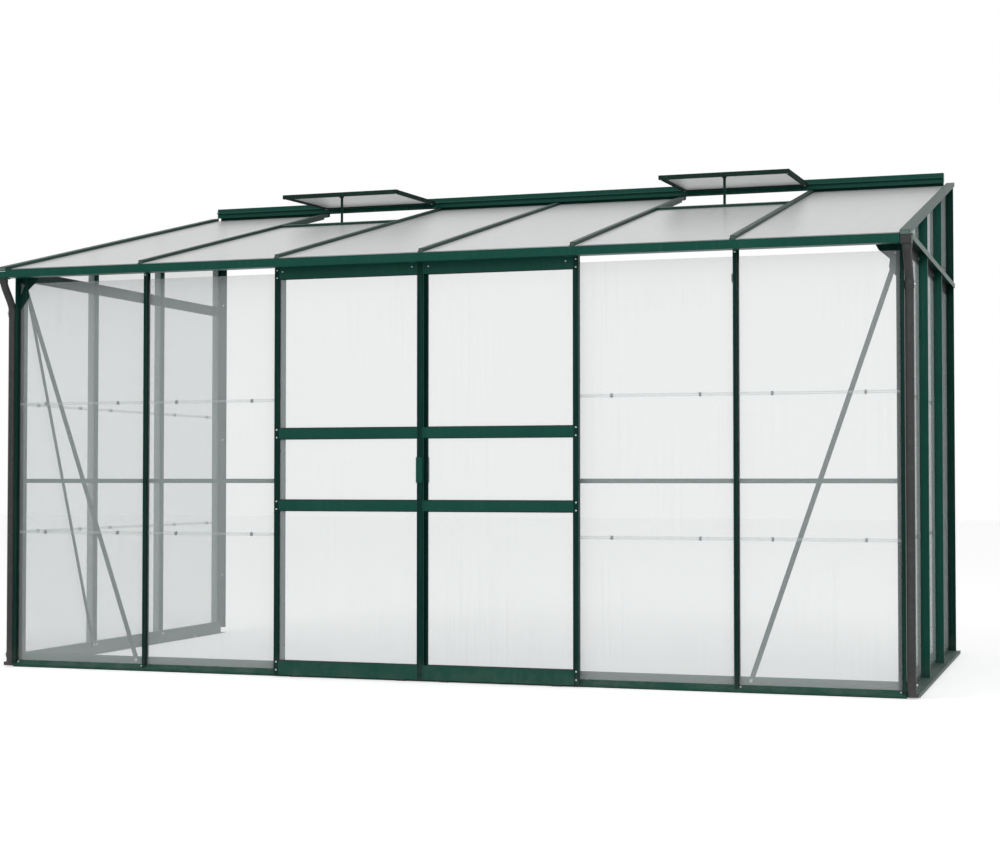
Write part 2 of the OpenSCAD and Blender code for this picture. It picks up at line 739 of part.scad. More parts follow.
// Vent: a frame of grooved rails that hangs on the ridge bead by a hooked top rail
module vent_place(s) { translate([s * vent_x, hinge_y, hinge_z]) rotate([vent_rest, 0, 0]) children(); }
hook_in = bead_r + 0.1;
hook_out = hook_in + 2.4;
vent_top_y = -(hook_out + 1.5);
top_rail_y = -28;
module hook2() {
    difference() {
        circle(r = hook_out);
        circle(r = hook_in);
        polygon([[0, 0], [40, -56], [40, 56]]);
    }
}

module vent_frame(s) {
    color(green) vent_place(s) {
        difference() {
            union() {
                for (k = [-1, 1]) translate([min(k * vent_w / 2, k * (vent_w / 2 - vent_rail_w)), -vent_len + vent_rail_w, 0])
                    run_y(-tiny, vent_len - vent_rail_w + top_rail_y + tiny) tube2(0, -vent_t / 2, vent_rail_w, vent_t / 2, wall);
                run_x(-vent_w / 2, vent_w / 2) {
                    translate([-vent_len, -vent_front_h / 2 - 0.5]) tube2(0, 0, vent_rail_w, vent_front_h, wall);
                    tube2(top_rail_y, -vent_t / 2, vent_top_y, vent_t / 2, wall);
                    hook2();
                    box2(vent_top_y - 1, -1.5, -hook_in - 0.6, 1.5);
                }
            }
            translate([-vent_w / 2 + vent_rail_w - 8, -vent_len + vent_rail_w - 8, -panel_t / 2 - 0.15])
                cube([vent_w - 2 * vent_rail_w + 16, vent_len - vent_rail_w + top_rail_y + 16, panel_t + 0.3]);
        }
        for (k = [-1, 1]) translate([k * (stay_w / 2 + 1.7) - 1.2, 0, 0]) run_x(0, 2.4) {
            box2(-vent_len + vent_rail_w - tiny, pivot_z - 4, pivot_y, pivot_z + 5);
            translate([pivot_y, pivot_z]) circle(r = 4);
        }
        translate([-stay_w / 2 - 2.9, pivot_y, pivot_z]) rotate([0, 90, 0]) cylinder(r = pivot_r, h = stay_w + 5.8);
    }
}

module vent_pane(s) {
    color(milky) vent_place(s)
        translate([-vent_w / 2 + vent_rail_w - 7, -vent_len + vent_rail_w - 7, -panel_t / 2 - 0.15])
            cube([vent_w - 2 * vent_rail_w + 14, vent_len - vent_rail_w + top_rail_y + 14, panel_t]);
}

// Stay: a flat bar with an eye on the vent's pin and a row of holes for the peg
function pivot_at() = [hinge_y + pivot_y * cos(vent_rest) - pivot_z * sin(vent_rest),
                       hinge_z + pivot_y * sin(vent_rest) + pivot_z * cos(vent_rest)];
stay_holes = 5;
module vent_stay(s) {
    color(dark_green) translate([s * vent_x, pivot_at()[0], pivot_at()[1]]) difference() {
        union() {
            rotate([0, 90, 0]) cylinder(r = pivot_r + 2.2, h = stay_w, center = true);
            translate([-stay_w / 2, -1.5, -stay_len]) cube([stay_w, 3, stay_len - 2]);
        }
        rotate([0, 90, 0]) cylinder(r = pivot_r + 0.08, h = stay_w + 2, center = true);
        for (i = [0 : stay_holes - 1]) translate([0, 0, -stay_len + 14 + i * 26])
            rotate([90, 0, 0]) cylinder(r = 3.2, h = 10, center = true);
    }
}

// Frame bolts: square head in the channel, shank out through the sheet part and a nut inside
module bolt_shape(grip) {
    translate([-4.5, -wall - 3, -6]) cube([9, 3, 12]);
    rotate([-90, 0, 0]) {
        translate([0, 0, -wall - 1]) cylinder(r = 3, h = wall + 1 + grip + 7);
        translate([0, 0, grip]) cylinder(r = 5.8, h = 5, $fn = 6);
    }
}
module spacer() {
    rotate([-90, 0, 0]) difference() {
        cylinder(r = 7, h = sheet_wall);
        translate([0, 0, -1]) cylinder(r = 3, h = sheet_wall + 2);
    }
}
module frame_bolts() {
    color(zinc) for (s = [-1, 1]) {
        for (x = front_bolt_x, z = [sill_bolt_z, waist_z, eave_bolt_z])
            translate([s * x, bolt_plane, z]) bolt_shape(sheet_wall);
        translate([s * front_bolt_x[0], bolt_plane, brace_bolt_z]) {
            bolt_shape(sheet_wall + brace_t + (s > 0 ? gusset_t : 0));
            spacer();
        }
        translate([s * brace_foot_x, bolt_plane, sill_bolt_z]) bolt_shape(sheet_wall + brace_t);
        for (i = [1 : side_bays - 1])
            translate([s * (gx - bolt_plane), i * bay, sill_bolt_z]) rotate(s * 90) bolt_shape(sheet_wall);
        translate([s * (gx - bolt_plane), brace_foot_y, sill_bolt_z]) rotate(s * 90)
            bolt_shape(sheet_wall + brace_t);
        translate([s * (gx - bolt_plane), corner_bolt_y, brace_bolt_z - 40]) rotate(s * 90) {
            bolt_shape(sheet_wall + brace_t);
            spacer();
        }
    }
}

// Door leaf, drawn for the right leaf; the left one is its mirror image
module leaf_section2(w, lo, hi) {
    difference() {
        box2(0, 0, w, door_t);
        box2((lo ? groove : 0) + wall, wall, w - (hi ? groove : 0) - wall, door_t - wall);
        if (lo) box2(-1, groove_back - groove_t, groove, groove_back);
        if (hi) box2(w - groove, groove_back - groove_t, w + 1, groove_back);
    }
}

module stile(x0, mirrored) {
    translate([x0 + (mirrored ? stile_w : 0), door_face, 0]) mirror([mirrored ? 1 : 0, 0, 0])
        run_z(door_lift, door_top) leaf_section2(stile_w, false, true);
}
module door_stiles() {
    color(green) {
        stile(meet_gap, false);
        stile(door_edge - stile_w, true);
    }
}

rail_x0 = meet_gap + stile_w;
rail_x1 = door_edge - stile_w;
module door_rail(z, h, lo, hi) {
    translate([0, 0, z]) run_x(rail_x0, rail_x1) translate([door_face, 0]) mirror([1, 0]) rotate(90)
        leaf_section2(h, lo, hi);
}
roller_x = [meet_gap + roller_inset, door_edge - roller_inset];
module door_rails() {
    color(green) {
        door_rail(door_lift, bottom_rail_h, false, true);
        door_rail(mid_low_z - mid_rail_h / 2, mid_rail_h, true, true);
        door_rail(mid_low_z + mid_pitch - mid_rail_h / 2, mid_rail_h, true, true);
        door_rail(door_top - top_rail_h, top_rail_h, true, false);
        translate([rail_x0, door_back - hanger_t, door_top - 1])
            cube([rail_x1 - rail_x0, hanger_t, hanger_top - door_top + 1]);
        for (x = roller_x) translate([x, door_back - 1, axle_z]) rotate([-90, 0, 0]) {
            cylinder(r = axle_r, h = roller_y + roller_t + 0.8 - door_back + 1);
            cylinder(r = axle_r + 1.5, h = roller_y - run_gap - door_back + 1);
        }
    }
}

door_rows = [[door_lift + bottom_rail_h, mid_low_z - mid_rail_h / 2],
             [mid_low_z + mid_rail_h / 2, mid_low_z + mid_pitch - mid_rail_h / 2],
             [mid_low_z + mid_pitch + mid_rail_h / 2, door_top - top_rail_h]];
module door_glass() {
    color(clear) for (r = door_rows)
        translate([rail_x0 - groove + 1, door_face + groove_back - glass_t, r[0] - groove])
            cube([rail_x1 - rail_x0 + 2 * groove - 2, glass_t, r[1] - r[0] + 2 * groove - 1]);
}

// The left leaf has a plate with a finger flange outside, the right leaf a slim pull inside
handle_z = 830;
module left_door_handle() {
    color(green) translate([0, 0, handle_z - handle_h / 2]) {
        translate([-handle_w + 4, door_face - 0.6, 0]) cube([handle_w - 6, 0.6, handle_h]);
        translate([-handle_w + 4, door_face - 3.6, 0]) cube([handle_w, 3, handle_h]);
        translate([1, door_face - 9, 0]) cube([3, 6, handle_h]);
    }
}
module right_door_handle() {
    color(green) translate([meet_gap + 2, door_back, handle_z - handle_h / 2]) cube([stile_w + 1, 2.4, handle_h]);
}

// Guide shoe: a block under the rail, with a tongue that hooks up behind the sill's lip
module door_guides() {
    tongue = sill_front + sheet_wall;
    color(nylon) for (x = roller_x) run_x(x - 20, x + 20)
        polygon([[door_face + 4, door_lift], [door_face + 4, 1], [tongue + 2.8, 1], [tongue + 2.8, 9],
                 [tongue + 0.6, 9], [tongue + 0.6, lip_low - 0.6], [sill_front - 2.5, lip_low - 0.6],
                 [sill_front - 2.5, door_lift]]);
}

module roller(s, i) {
    color(nylon) translate([s * roller_x[i], roller_y, axle_z]) rotate([-90, 0, 0]) difference() {
        cylinder(r = roller_r, h = roller_t);
        translate([0, 0, -1]) cylinder(r = axle_r + 0.06, h = roller_t + 2);
        for (a = [0 : 60 : 300]) rotate(a) translate([(axle_r + roller_r) / 2, 0, -1]) cylinder(r = 1.1, h = 2.5);
    }
}

y_shift = -(wall_y - gutter_out) / 2;
module placed() { translate([0, y_shift, 0]) children(); }

placed() front_sill();
placed() left_side() side_sill();  // left_side_sill
placed() side_sill();  // right_side_sill
placed() left_side() corner_post();  // left_corner_post
placed() corner_post();  // right_corner_post
placed() front_bar(-2 * bay);  // left_front_bar
placed() front_bar(2 * bay);  // right_front_bar
placed() front_bar(-bay);  // left_door_post
placed() front_bar(bay);  // right_door_post
placed() left_side() gable_bars();  // left_gable_bars
placed() gable_bars();  // right_gable_bars
placed() left_side() wall_post();  // left_wall_post
placed() wall_post();  // right_wall_post
placed() eave_gutter();
placed() door_track();
placed() left_side() gable_rail();  // left_gable_rail
placed() gable_rail();  // right_gable_rail
placed() left_side() verge_bar();  // left_verge_bar
placed() verge_bar();  // right_verge_bar
placed() roof_bar(-2);  // roof_bar_1
placed() roof_bar(-1);  // roof_bar_2
placed() roof_bar(0);  // roof_bar_3
placed() roof_bar(1);  // roof_bar_4
placed() roof_bar(2);  // roof_bar_5
placed() ridge_bar();
placed() left_side() gutter_outlet();  // left_gutter_outlet
placed() gutter_outlet();  // right_gutter_outlet
placed() left_side() downpipe();  // left_downpipe
placed() downpipe();  // right_downpipe
placed() pipe_clips();
placed() downpipe_shoes();
placed() waist_rails();
placed() front_braces();
placed() gable_braces();
placed() corner_gussets();
placed() front_glass();
placed() gable_glass();
placed() roof_panels();
placed() vent_sills();
placed() frame_bolts();
placed() left_side() door_stiles();  // left_door_stiles
placed() left_side() door_rails();  // left_door_rails
placed() left_side() door_glass();  // left_door_glass
placed() left_door_handle();
placed() left_side() door_guides();  // left_door_guides
placed() door_stiles();  // right_door_stiles
placed() door_rails();  // right_door_rails
placed() door_glass();  // right_door_glass
placed() right_door_handle();
placed() door_guides();  // right_door_guides
placed() roller(-1, 0);  // left_door_roller_1
placed() roller(-1, 1);  // left_door_roller_2
placed() roller(1, 0);  // right_door_roller_1
placed() roller(1, 1);  // right_door_roller_2
placed() vent_frame(-1);  // left_vent_frame
placed() vent_pane(-1);  // left_vent_pane
placed() vent_stay(-1);  // left_vent_stay
placed() vent_frame(1);  // right_vent_frame
placed() vent_pane(1);  // right_vent_pane
placed() vent_stay(1);  // right_vent_stay
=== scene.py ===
"""The looks of a lean-to greenhouse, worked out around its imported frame.

New pieces are worked out in millimetres from the middle of the front glass's outer face at the floor,
and become metres of the frame in piece().
"""
from math import cos, pi, radians, sin, tan

import bmesh
import bpy
import numpy as np
from bpy.props import FloatProperty, FloatVectorProperty, IntProperty, PointerProperty
from mathutils import Euler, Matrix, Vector


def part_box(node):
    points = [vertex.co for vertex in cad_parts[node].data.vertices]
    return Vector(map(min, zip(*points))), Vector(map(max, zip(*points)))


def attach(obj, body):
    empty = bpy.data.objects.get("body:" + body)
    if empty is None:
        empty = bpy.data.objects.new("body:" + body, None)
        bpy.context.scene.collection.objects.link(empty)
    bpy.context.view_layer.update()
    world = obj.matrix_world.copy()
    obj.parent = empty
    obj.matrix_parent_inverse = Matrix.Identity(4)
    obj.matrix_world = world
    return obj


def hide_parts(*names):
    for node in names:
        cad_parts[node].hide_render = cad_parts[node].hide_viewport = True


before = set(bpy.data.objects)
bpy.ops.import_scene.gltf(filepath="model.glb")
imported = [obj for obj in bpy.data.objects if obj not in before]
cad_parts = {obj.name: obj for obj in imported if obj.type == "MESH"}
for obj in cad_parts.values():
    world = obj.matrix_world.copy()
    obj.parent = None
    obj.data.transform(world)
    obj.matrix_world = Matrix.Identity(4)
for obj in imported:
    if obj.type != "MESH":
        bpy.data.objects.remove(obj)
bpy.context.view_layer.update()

bl_info = {
    "name": "Lean-to Greenhouse",
    "version": (1, 0, 0),
    "blender": (4, 5, 0),
    "location": "View3D > Sidebar > Greenhouse",
    "description": "Finishes, seals, fixings and rainwater fittings of a lean-to greenhouse",
    "category": "Object",
}

# Places and sizes in millimetres: what the frame's boxes show is read from them

GLASS_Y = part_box("front_glass")[0].y


def reach(node, corner, axis):
    """A coordinate of a part's box, in the pieces' millimetres."""
    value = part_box(node)[corner][axis] - (GLASS_Y if axis == 1 else 0)
    return round(value * 1000, 2)


def span(node, axis):
    """Both coordinates of a part's box along an axis."""
    return reach(node, 0, axis), reach(node, 1, axis)


# Bays, panes, and the planes and half widths of the bars' sections
BAY = reach("right_front_bar", 1, 0) - reach("right_door_post", 1, 0)
GLASS = 3
PANE = 543
GABLE_X = reach("gable_glass", 1, 0)
CORNER_X = GABLE_X - GLASS
WALL_Y = reach("ridge_bar", 1, 1)
WALL_SEAT = WALL_Y - 8
SEAT_Z, GLASS_TOP = span("front_glass", 2)
RAIL_LOW, RAIL_TOP = span("right_gable_rail", 2)
POST_BACK = 24
BOLT_PLANE = 13.6
ANCHOR = 27.9
RIB = 6
NECK = 4
SILL_FLOOR = 2

# Door leaves: their planes, the stiles' width, the lower and upper edge of each pane, and the rollers
LEAF_IN, LEAF_OUT = span("right_door_stiles", 0)
LEAF_FRONT, LEAF_BACK = span("right_door_stiles", 1)
LEAF_LOW, LEAF_TOP = span("right_door_stiles", 2)
STILE = 20.5
PANE_FRONT = LEAF_FRONT + 6.5
LEAF_ROWS = [(65, 668.5), (709.5, 956.5), (997.5, 1602)]
AXLE_Z = sum(span("right_door_roller_1", 2)) / 2
ROLLERS = [sum(span(f"right_door_roller_{n}", 0)) / 2 for n in (1, 2)]
ROLLER_BACK = reach("right_door_roller_1", 1, 1)

# Roof: the eave line, the sheets' ends, depths below the slope, half a bar's rib, and the ridge
GUTTER_LOW, GUTTER_OUT = reach("eave_gutter", 0, 2), reach("eave_gutter", 0, 1)
PITCH = radians(13.4)
EAVE_Y, EAVE_Z = reach("roof_bar_3", 0, 1), GUTTER_LOW + 55.2
SHEET_START, SHEET_END, SHORT_SHEET_END = -5, WALL_Y - 12, 1284
SHEET_TOP, BAR_MIDDLE, STACK = -12, -8.8, 17.6
ROOF_RIB = 10
RIDGE_TOP, RIDGE_END = reach("ridge_bar", 1, 2), reach("ridge_bar", 1, 0)
RIDGE_FACE = WALL_Y - 35
VERGE_IN = GABLE_X + 4

# Vents: the hinge line, how far they stand open, their size and rails, and the pane's top and faces
VENT_X = 1.5 * BAY
HINGE_Y, HINGE_Z = RIDGE_FACE - 12, RIDGE_TOP - 24
VENT_REST = radians(2)
VENT_W = reach("right_vent_frame", 1, 0) - reach("right_vent_frame", 0, 0)
VENT_LEN = 523
VENT_RAIL = 20
VENT_TOP, VENT_ABOVE, VENT_BELOW = -28, 1.85, -2.15

# Rainwater: the pipes, and the outlets under the gutter's ends
PIPE_X, PIPE_Y = (sum(span("right_downpipe", axis)) / 2 for axis in (0, 1))
PIPE_TOP = reach("right_downpipe", 1, 2)
PIPE_R = 16
OUTLET_IN, OUTLET_OUT = reach("right_gutter_outlet", 0, 0), GABLE_X + 46
OUTLET_Y, OUTLET_BACK = -81.5, -60
OUTLET_LOW, OUTLET_TOP = GUTTER_LOW - 4, reach("right_gutter_outlet", 1, 2)

SIDES = (-1, 1)
SIDE = {-1: "left", 1: "right"}


def slope(x, s, h):
    """A point of the roof: across, up the slope from the eave, and square to the slope."""
    return (x, EAVE_Y + s * cos(PITCH) - h * sin(PITCH), EAVE_Z + s * sin(PITCH) + h * cos(PITCH))


def up_slope(y):
    """How far up the slope a depth lies."""
    return (y - EAVE_Y) / cos(PITCH)


def under_bars(y):
    """Height of the roof bars' underside over a depth."""
    return EAVE_Z + (y - EAVE_Y) * tan(PITCH) - STACK / cos(PITCH)


def on_vent(side, x, y, z):
    """A point given from the middle of a vent's hinge, along the closed vent."""
    return (side * VENT_X + x, HINGE_Y + y * cos(VENT_REST) - z * sin(VENT_REST),
            HINGE_Z + y * sin(VENT_REST) + z * cos(VENT_REST))


SLOPE_UP = (0, -sin(PITCH), cos(PITCH))
VENT_UP = (0, -sin(VENT_REST), cos(VENT_REST))
VENT_DOWN = tuple(-v for v in VENT_UP)
FRONT, BACK, UP = (0, -1, 0), (0, 1, 0), (0, 0, 1)


def gable_bays(post, bar, wall):
    """Where the three gable bays begin and end, clear of the corner post, the bars and the wall post."""
    return [(POST_BACK + post, BAY - bar), (BAY + bar, 2 * BAY - bar), (2 * BAY + bar, WALL_Y - wall)]


# Shapes

def ring_grid(rings):
    """Faces of a tube whose rings of points follow one another; each end is closed by one face."""
    count, around = rings.shape[:2]
    index = np.arange(count * around).reshape(count, around)
    turned = np.roll(index, -1, axis=1)
    sides = np.stack([index[:-1], turned[:-1], turned[1:], index[1:]], axis=-1).reshape(-1, 4)
    return rings.reshape(-1, 3), sides.tolist() + [index[0][::-1].tolist(), index[-1].tolist()]


def lathe(profile, around=24):
    """A profile of radius and height turned about Z."""
    turn = np.linspace(0, 2 * pi, around, endpoint=False)
    r, z = np.array(profile, float).T
    rings = np.stack([r[:, None] * np.cos(turn), r[:, None] * np.sin(turn),
                      np.repeat(z[:, None], around, axis=1)], axis=-1)
    return ring_grid(rings)


def cross_head(radius=4.5, height=2.4, around=32):
    """A pan head on a polar grid: a dome of height z = h (1 - (r/R)^4), with a cross sunk in it."""
    turn = np.linspace(0, 2 * pi, around, endpoint=False)
    r = np.array([1.0, 1.0, 0.92, 0.74, 0.58, 0.5, 0.34, 0.16])[:, None] * radius
    x, y = r * np.cos(turn), r * np.sin(turn)
    z = np.repeat(height * (1 - (r / radius * 0.97) ** 4), around, axis=1)
    z[0] = 0
    slot = np.minimum(abs(x), abs(y)) < 0.11 * radius + 0.05 * r
    z[5:] -= np.where(slot, 0.7 * height, 0)[5:]
    return ring_grid(np.stack([x, y, z], axis=-1))


def hex_head(across=10, height=4, washer=0, around=24):
    """A hexagon head on a polar grid: r = a / cos(angle from the flat), with a chamfered rim."""
    turn = np.linspace(0, 2 * pi, around, endpoint=False)
    flat = across / 2
    edge = flat / np.cos((turn + pi / 6) % (pi / 3) - pi / 6)
    rounded = np.minimum(edge, flat * 1.04)
    low = [(np.full(around, washer), 0), (np.full(around, washer), 1)] if washer else []
    base = 1 if washer else 0
    rings = low + [(edge, base), (edge, base + height * 0.86), (rounded, base + height),
                   (rounded * 0.5, base + height), (rounded * 0.45, base + height * 0.9)]
    grid = [np.stack([r * np.cos(turn), r * np.sin(turn), np.full(around, z)], axis=-1) for r, z in rings]
    return ring_grid(np.array(grid))


def copies(shape, places, ways):
    """The shape at each place, its Z axis turned to each way, as one set of points and faces."""
    points, faces = shape
    way = np.array(ways, float).reshape(-1, 3)
    way /= np.linalg.norm(way, axis=1, keepdims=True)
    aside = np.where(abs(way[:, 2:]) < 0.9, [[0.0, 0.0, 1.0]], [[1.0, 0.0, 0.0]])
    across = np.cross(aside, way)
    across /= np.linalg.norm(across, axis=1, keepdims=True)
    turn = np.stack([across, np.cross(way, across), way], axis=1)
    made = np.einsum("pi,nij->npj", points, turn) + np.array(places, float)[:, None]
    step = len(points)
    return made.reshape(-1, 3), [[i + n * step for i in f] for n in range(len(made)) for f in faces]


def strips(profile, starts, ends, ups):
    """A profile of (aside, up) points drawn out along straight lines; aside is up x along."""
    profile = np.array(profile, float)
    a, b, up = (np.array(v, float).reshape(-1, 3) for v in (starts, ends, ups))
    along = b - a
    along /= np.linalg.norm(along, axis=1, keepdims=True)
    up = up - (up * along).sum(1, keepdims=True) * along
    up /= np.linalg.norm(up, axis=1, keepdims=True)
    aside = np.cross(up, along)
    cut = profile[None, :, :1] * aside[:, None] + profile[None, :, 1:] * up[:, None]
    rings = np.stack([a[:, None] + cut, b[:, None] + cut], axis=1)
    points, faces, step = [], [], 2 * len(profile)
    for n, pair in enumerate(rings):
        p, f = ring_grid(pair)
        points.append(p)
        faces += [[i + n * step for i in face] for face in f]
    return np.concatenate(points), faces


def round_box(size, radius=1, corner=4):
    """A rounded rectangle outline, as (x, y) points, of the given width and height."""
    turn = np.linspace(0, pi / 2, corner)
    w, h = size[0] / 2 - radius, size[1] / 2 - radius
    parts = [np.stack([sx * w + radius * np.cos(turn + k * pi / 2),
                       sy * h + radius * np.sin(turn + k * pi / 2)], axis=-1)
             for k, (sx, sy) in enumerate([(1, 1), (-1, 1), (-1, -1), (1, -1)])]
    return np.concatenate(parts)


def join(*shapes):
    """Several sets of points and faces as one."""
    points, faces, start = [], [], 0
    for p, f in shapes:
        points.append(np.asarray(p).reshape(-1, 3))
        faces += [[i + start for i in face] for face in f]
        start += len(points[-1])
    return np.concatenate(points), faces


def piece(name, shape, finish, body="frame"):
    """A new object from points in millimetres and faces, with its faces turned outwards."""
    points, faces = shape
    mesh = bpy.data.meshes.new(name)
    mesh.from_pydata((np.asarray(points) / 1000 + [0, GLASS_Y, 0]).tolist(), [], faces)
    work = bmesh.new()
    work.from_mesh(mesh)
    bmesh.ops.recalc_face_normals(work, faces=work.faces)
    work.to_mesh(mesh)
    work.free()
    mesh.shade_smooth()
    mesh.set_sharp_from_angle(angle=radians(35))
    mesh.materials.append(bpy.data.materials[finish])
    made = bpy.data.objects.new(name, mesh)
    bpy.context.scene.collection.objects.link(made)
    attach(made, body)
    return made


# Materials

# Colours that weather, wear and cut edges give to the finishes
PAINT_RAIN = (0.040, 0.120, 0.095, 1.0)
PAINT_RUBBED = (0.12, 0.24, 0.20, 1.0)
PAINT_DUST = (0.30, 0.30, 0.26, 1.0)
PLASTIC_RAIN = (0.16, 0.16, 0.15, 1.0)
PLASTIC_DUST = (0.30, 0.29, 0.26, 1.0)
GLASS_CUT = (0.16, 0.36, 0.30, 1.0)
SHEET_RIB = (0.50, 0.53, 0.52, 1.0)
SHEET_MOTTLE = (0.46, 0.48, 0.46, 1.0)
SHEET_RUNS = (0.40, 0.41, 0.38, 1.0)
SHEET_DUST = (0.42, 0.40, 0.35, 1.0)
WHITE = (1.0, 1.0, 1.0, 1.0)

# The glass's index against air, and the metres from one flute of the roof sheet to the next
GLASS_IOR = 1.3
FLUTE = 0.0057


def wire(tree, node, **inputs):
    """Link or set a node's inputs, each named with _ for a space, or by i and its number."""
    for key, value in inputs.items():
        numbered = key[0] == "i" and key[1:].isdigit()
        socket = node.inputs[int(key[1:]) if numbered else key.replace("_", " ")]
        if isinstance(value, bpy.types.NodeSocket):
            tree.links.new(value, socket)
        else:
            socket.default_value = value


def add(tree, kind, options=None, **inputs):
    """A node with its options, its inputs given as values or as other nodes' sockets."""
    made = tree.nodes.new("ShaderNode" + kind)
    for key, value in (options or {}).items():
        setattr(made, key, value)
    wire(tree, made, **inputs)
    return made


def maths(tree, operation, a, b=0.0, clamp=False):
    return add(tree, "Math", {"operation": operation, "use_clamp": clamp}, i0=a, i1=b).outputs[0]


def times(tree, a, b, clamp=False):
    return maths(tree, "MULTIPLY", a, b, clamp)


def plus(tree, a, b, clamp=False):
    return maths(tree, "ADD", a, b, clamp)


def noise(tree, place, scale, detail, rough=0.5):
    return add(tree, "TexNoise", Vector=place, Scale=scale, Detail=detail, Roughness=rough).outputs[0]


def ramp(tree, value, low, high, top=1.0):
    """0 where the value is at low, rising evenly to top where it is at high."""
    return add(tree, "MapRange", i0=value, i1=low, i2=high, i4=top).outputs[0]


def mixed(tree, factor, a, b, kind="RGBA"):
    """A mix of two colours, or of two numbers where kind is FLOAT."""
    first, out = {"RGBA": (6, 2), "FLOAT": (2, 0)}[kind]
    inputs = {"i0": factor, f"i{first}": a, f"i{first + 1}": b}
    return add(tree, "Mix", {"data_type": kind}, **inputs).outputs[out]


def opaque(colour, gain=1.0, lift=0.0):
    """A colour with its alpha, brightened by a gain and a lift."""
    return tuple(min(1.0, c * gain + lift) for c in colour) + (1.0,)


def group(name, inputs, outputs):
    """A node group with named sockets; returns the tree and the sockets of its two end nodes."""
    tree = bpy.data.node_groups.new(name, "ShaderNodeTree")
    for label, kind, value in inputs:
        socket = tree.interface.new_socket(label, in_out="INPUT", socket_type="NodeSocket" + kind)
        if value is not None:
            socket.default_value = value
    for label, kind in outputs:
        tree.interface.new_socket(label, in_out="OUTPUT", socket_type="NodeSocket" + kind)
    return tree, tree.nodes.new("NodeGroupInput").outputs, tree.nodes.new("NodeGroupOutput").inputs


def use(tree, name, **inputs):
    """A node group placed in a material with its own values; returns its output sockets."""
    return add(tree, "Group", {"node_tree": bpy.data.node_groups[name]}, **inputs).outputs


def make_groups():
    """Effects that several finishes share: sprayed grain, dust that settles, rain marks and wear."""
    vector, mask = ("Vector", "Vector", None), ("Mask", "Float")
    tree, given, out = group("Sprayed Grain", [vector, ("Grain", "Float", 1400.0)],
                             [("Height", "Float"), mask])
    fine = noise(tree, given["Vector"], given["Grain"], 2.0)
    peel = noise(tree, given["Vector"], 220.0, 1.0)
    tree.links.new(plus(tree, times(tree, fine, 0.4), peel), out["Height"])
    tree.links.new(peel, out["Mask"])

    tree, given, out = group("Settled Dust", [vector, ("Amount", "Float", 0.3),
                                             ("Splash Height", "Float", 0.1)], [mask])
    facing = add(tree, "SeparateXYZ", Vector=add(tree, "NewGeometry").outputs["Normal"]).outputs["Z"]
    height = add(tree, "SeparateXYZ", Vector=given["Vector"]).outputs["Z"]
    low = maths(tree, "SUBTRACT", 1.0, maths(tree, "DIVIDE", height, given["Splash Height"]), True)
    upward = times(tree, maths(tree, "MAXIMUM", facing, 0.0), 0.8)
    where = plus(tree, upward, times(tree, low, 0.7), True)
    patch = ramp(tree, noise(tree, given["Vector"], 14.0, 6.0, 0.7), 0.35, 0.7)
    dots = ramp(tree, noise(tree, given["Vector"], 420.0, 3.0), 0.45, 0.62)
    cover = plus(tree, times(tree, patch, 0.7), times(tree, dots, 0.3))
    tree.links.new(times(tree, times(tree, where, cover), given["Amount"], True), out["Mask"])

    tree, given, out = group("Rain Marks", [vector, ("Amount", "Float", 0.2)], [mask])
    long = add(tree, "Mapping", Vector=given["Vector"], Scale=(90.0, 90.0, 1.6)).outputs[0]
    mark = ramp(tree, noise(tree, long, 1.0, 4.0, 0.6), 0.48, 0.72)
    soft = ramp(tree, noise(tree, given["Vector"], 3.0, 2.0), 0.35, 0.65)
    tree.links.new(times(tree, times(tree, mark, soft), given["Amount"], True), out["Mask"])

    tree, given, out = group("Worn Spots", [vector, ("Size", "Float", 60.0), ("Amount", "Float", 0.1)],
                             [mask])
    spots = add(tree, "TexVoronoi", {"feature": "SMOOTH_F1"}, Vector=given["Vector"], Scale=given["Size"])
    dab = ramp(tree, spots.outputs[0], 0.25, 0.08)
    some = ramp(tree, noise(tree, given["Vector"], 9.0, 4.0), 0.55, 0.62)
    tree.links.new(times(tree, times(tree, dab, some), given["Amount"], True), out["Mask"])

    tree, given, out = group("Edge Wear", [("Width", "Float", 0.0008), vector],
                             [mask, ("Normal", "Vector")])
    soft = add(tree, "Bevel", {"samples": 4}, Radius=given["Width"]).outputs[0]
    flat = add(tree, "NewGeometry").outputs["Normal"]
    turn = add(tree, "VectorMath", {"operation": "DOT_PRODUCT"}, i0=soft, i1=flat).outputs["Value"]
    near = maths(tree, "SUBTRACT", 1.0, turn, True)
    rub = ramp(tree, noise(tree, given["Vector"], 55.0, 5.0, 0.7), 0.42, 0.66)
    tree.links.new(times(tree, times(tree, near, rub), 3.0, True), out["Mask"])
    tree.links.new(soft, out["Normal"])


def begin(name):
    """A new material; returns its tree, its main shader and the Object coordinates."""
    made = bpy.data.materials.new(name)
    made.use_nodes = True
    tree = made.node_tree
    return tree, tree.nodes["Principled BSDF"], tree.nodes.new("ShaderNodeTexCoord").outputs["Object"]


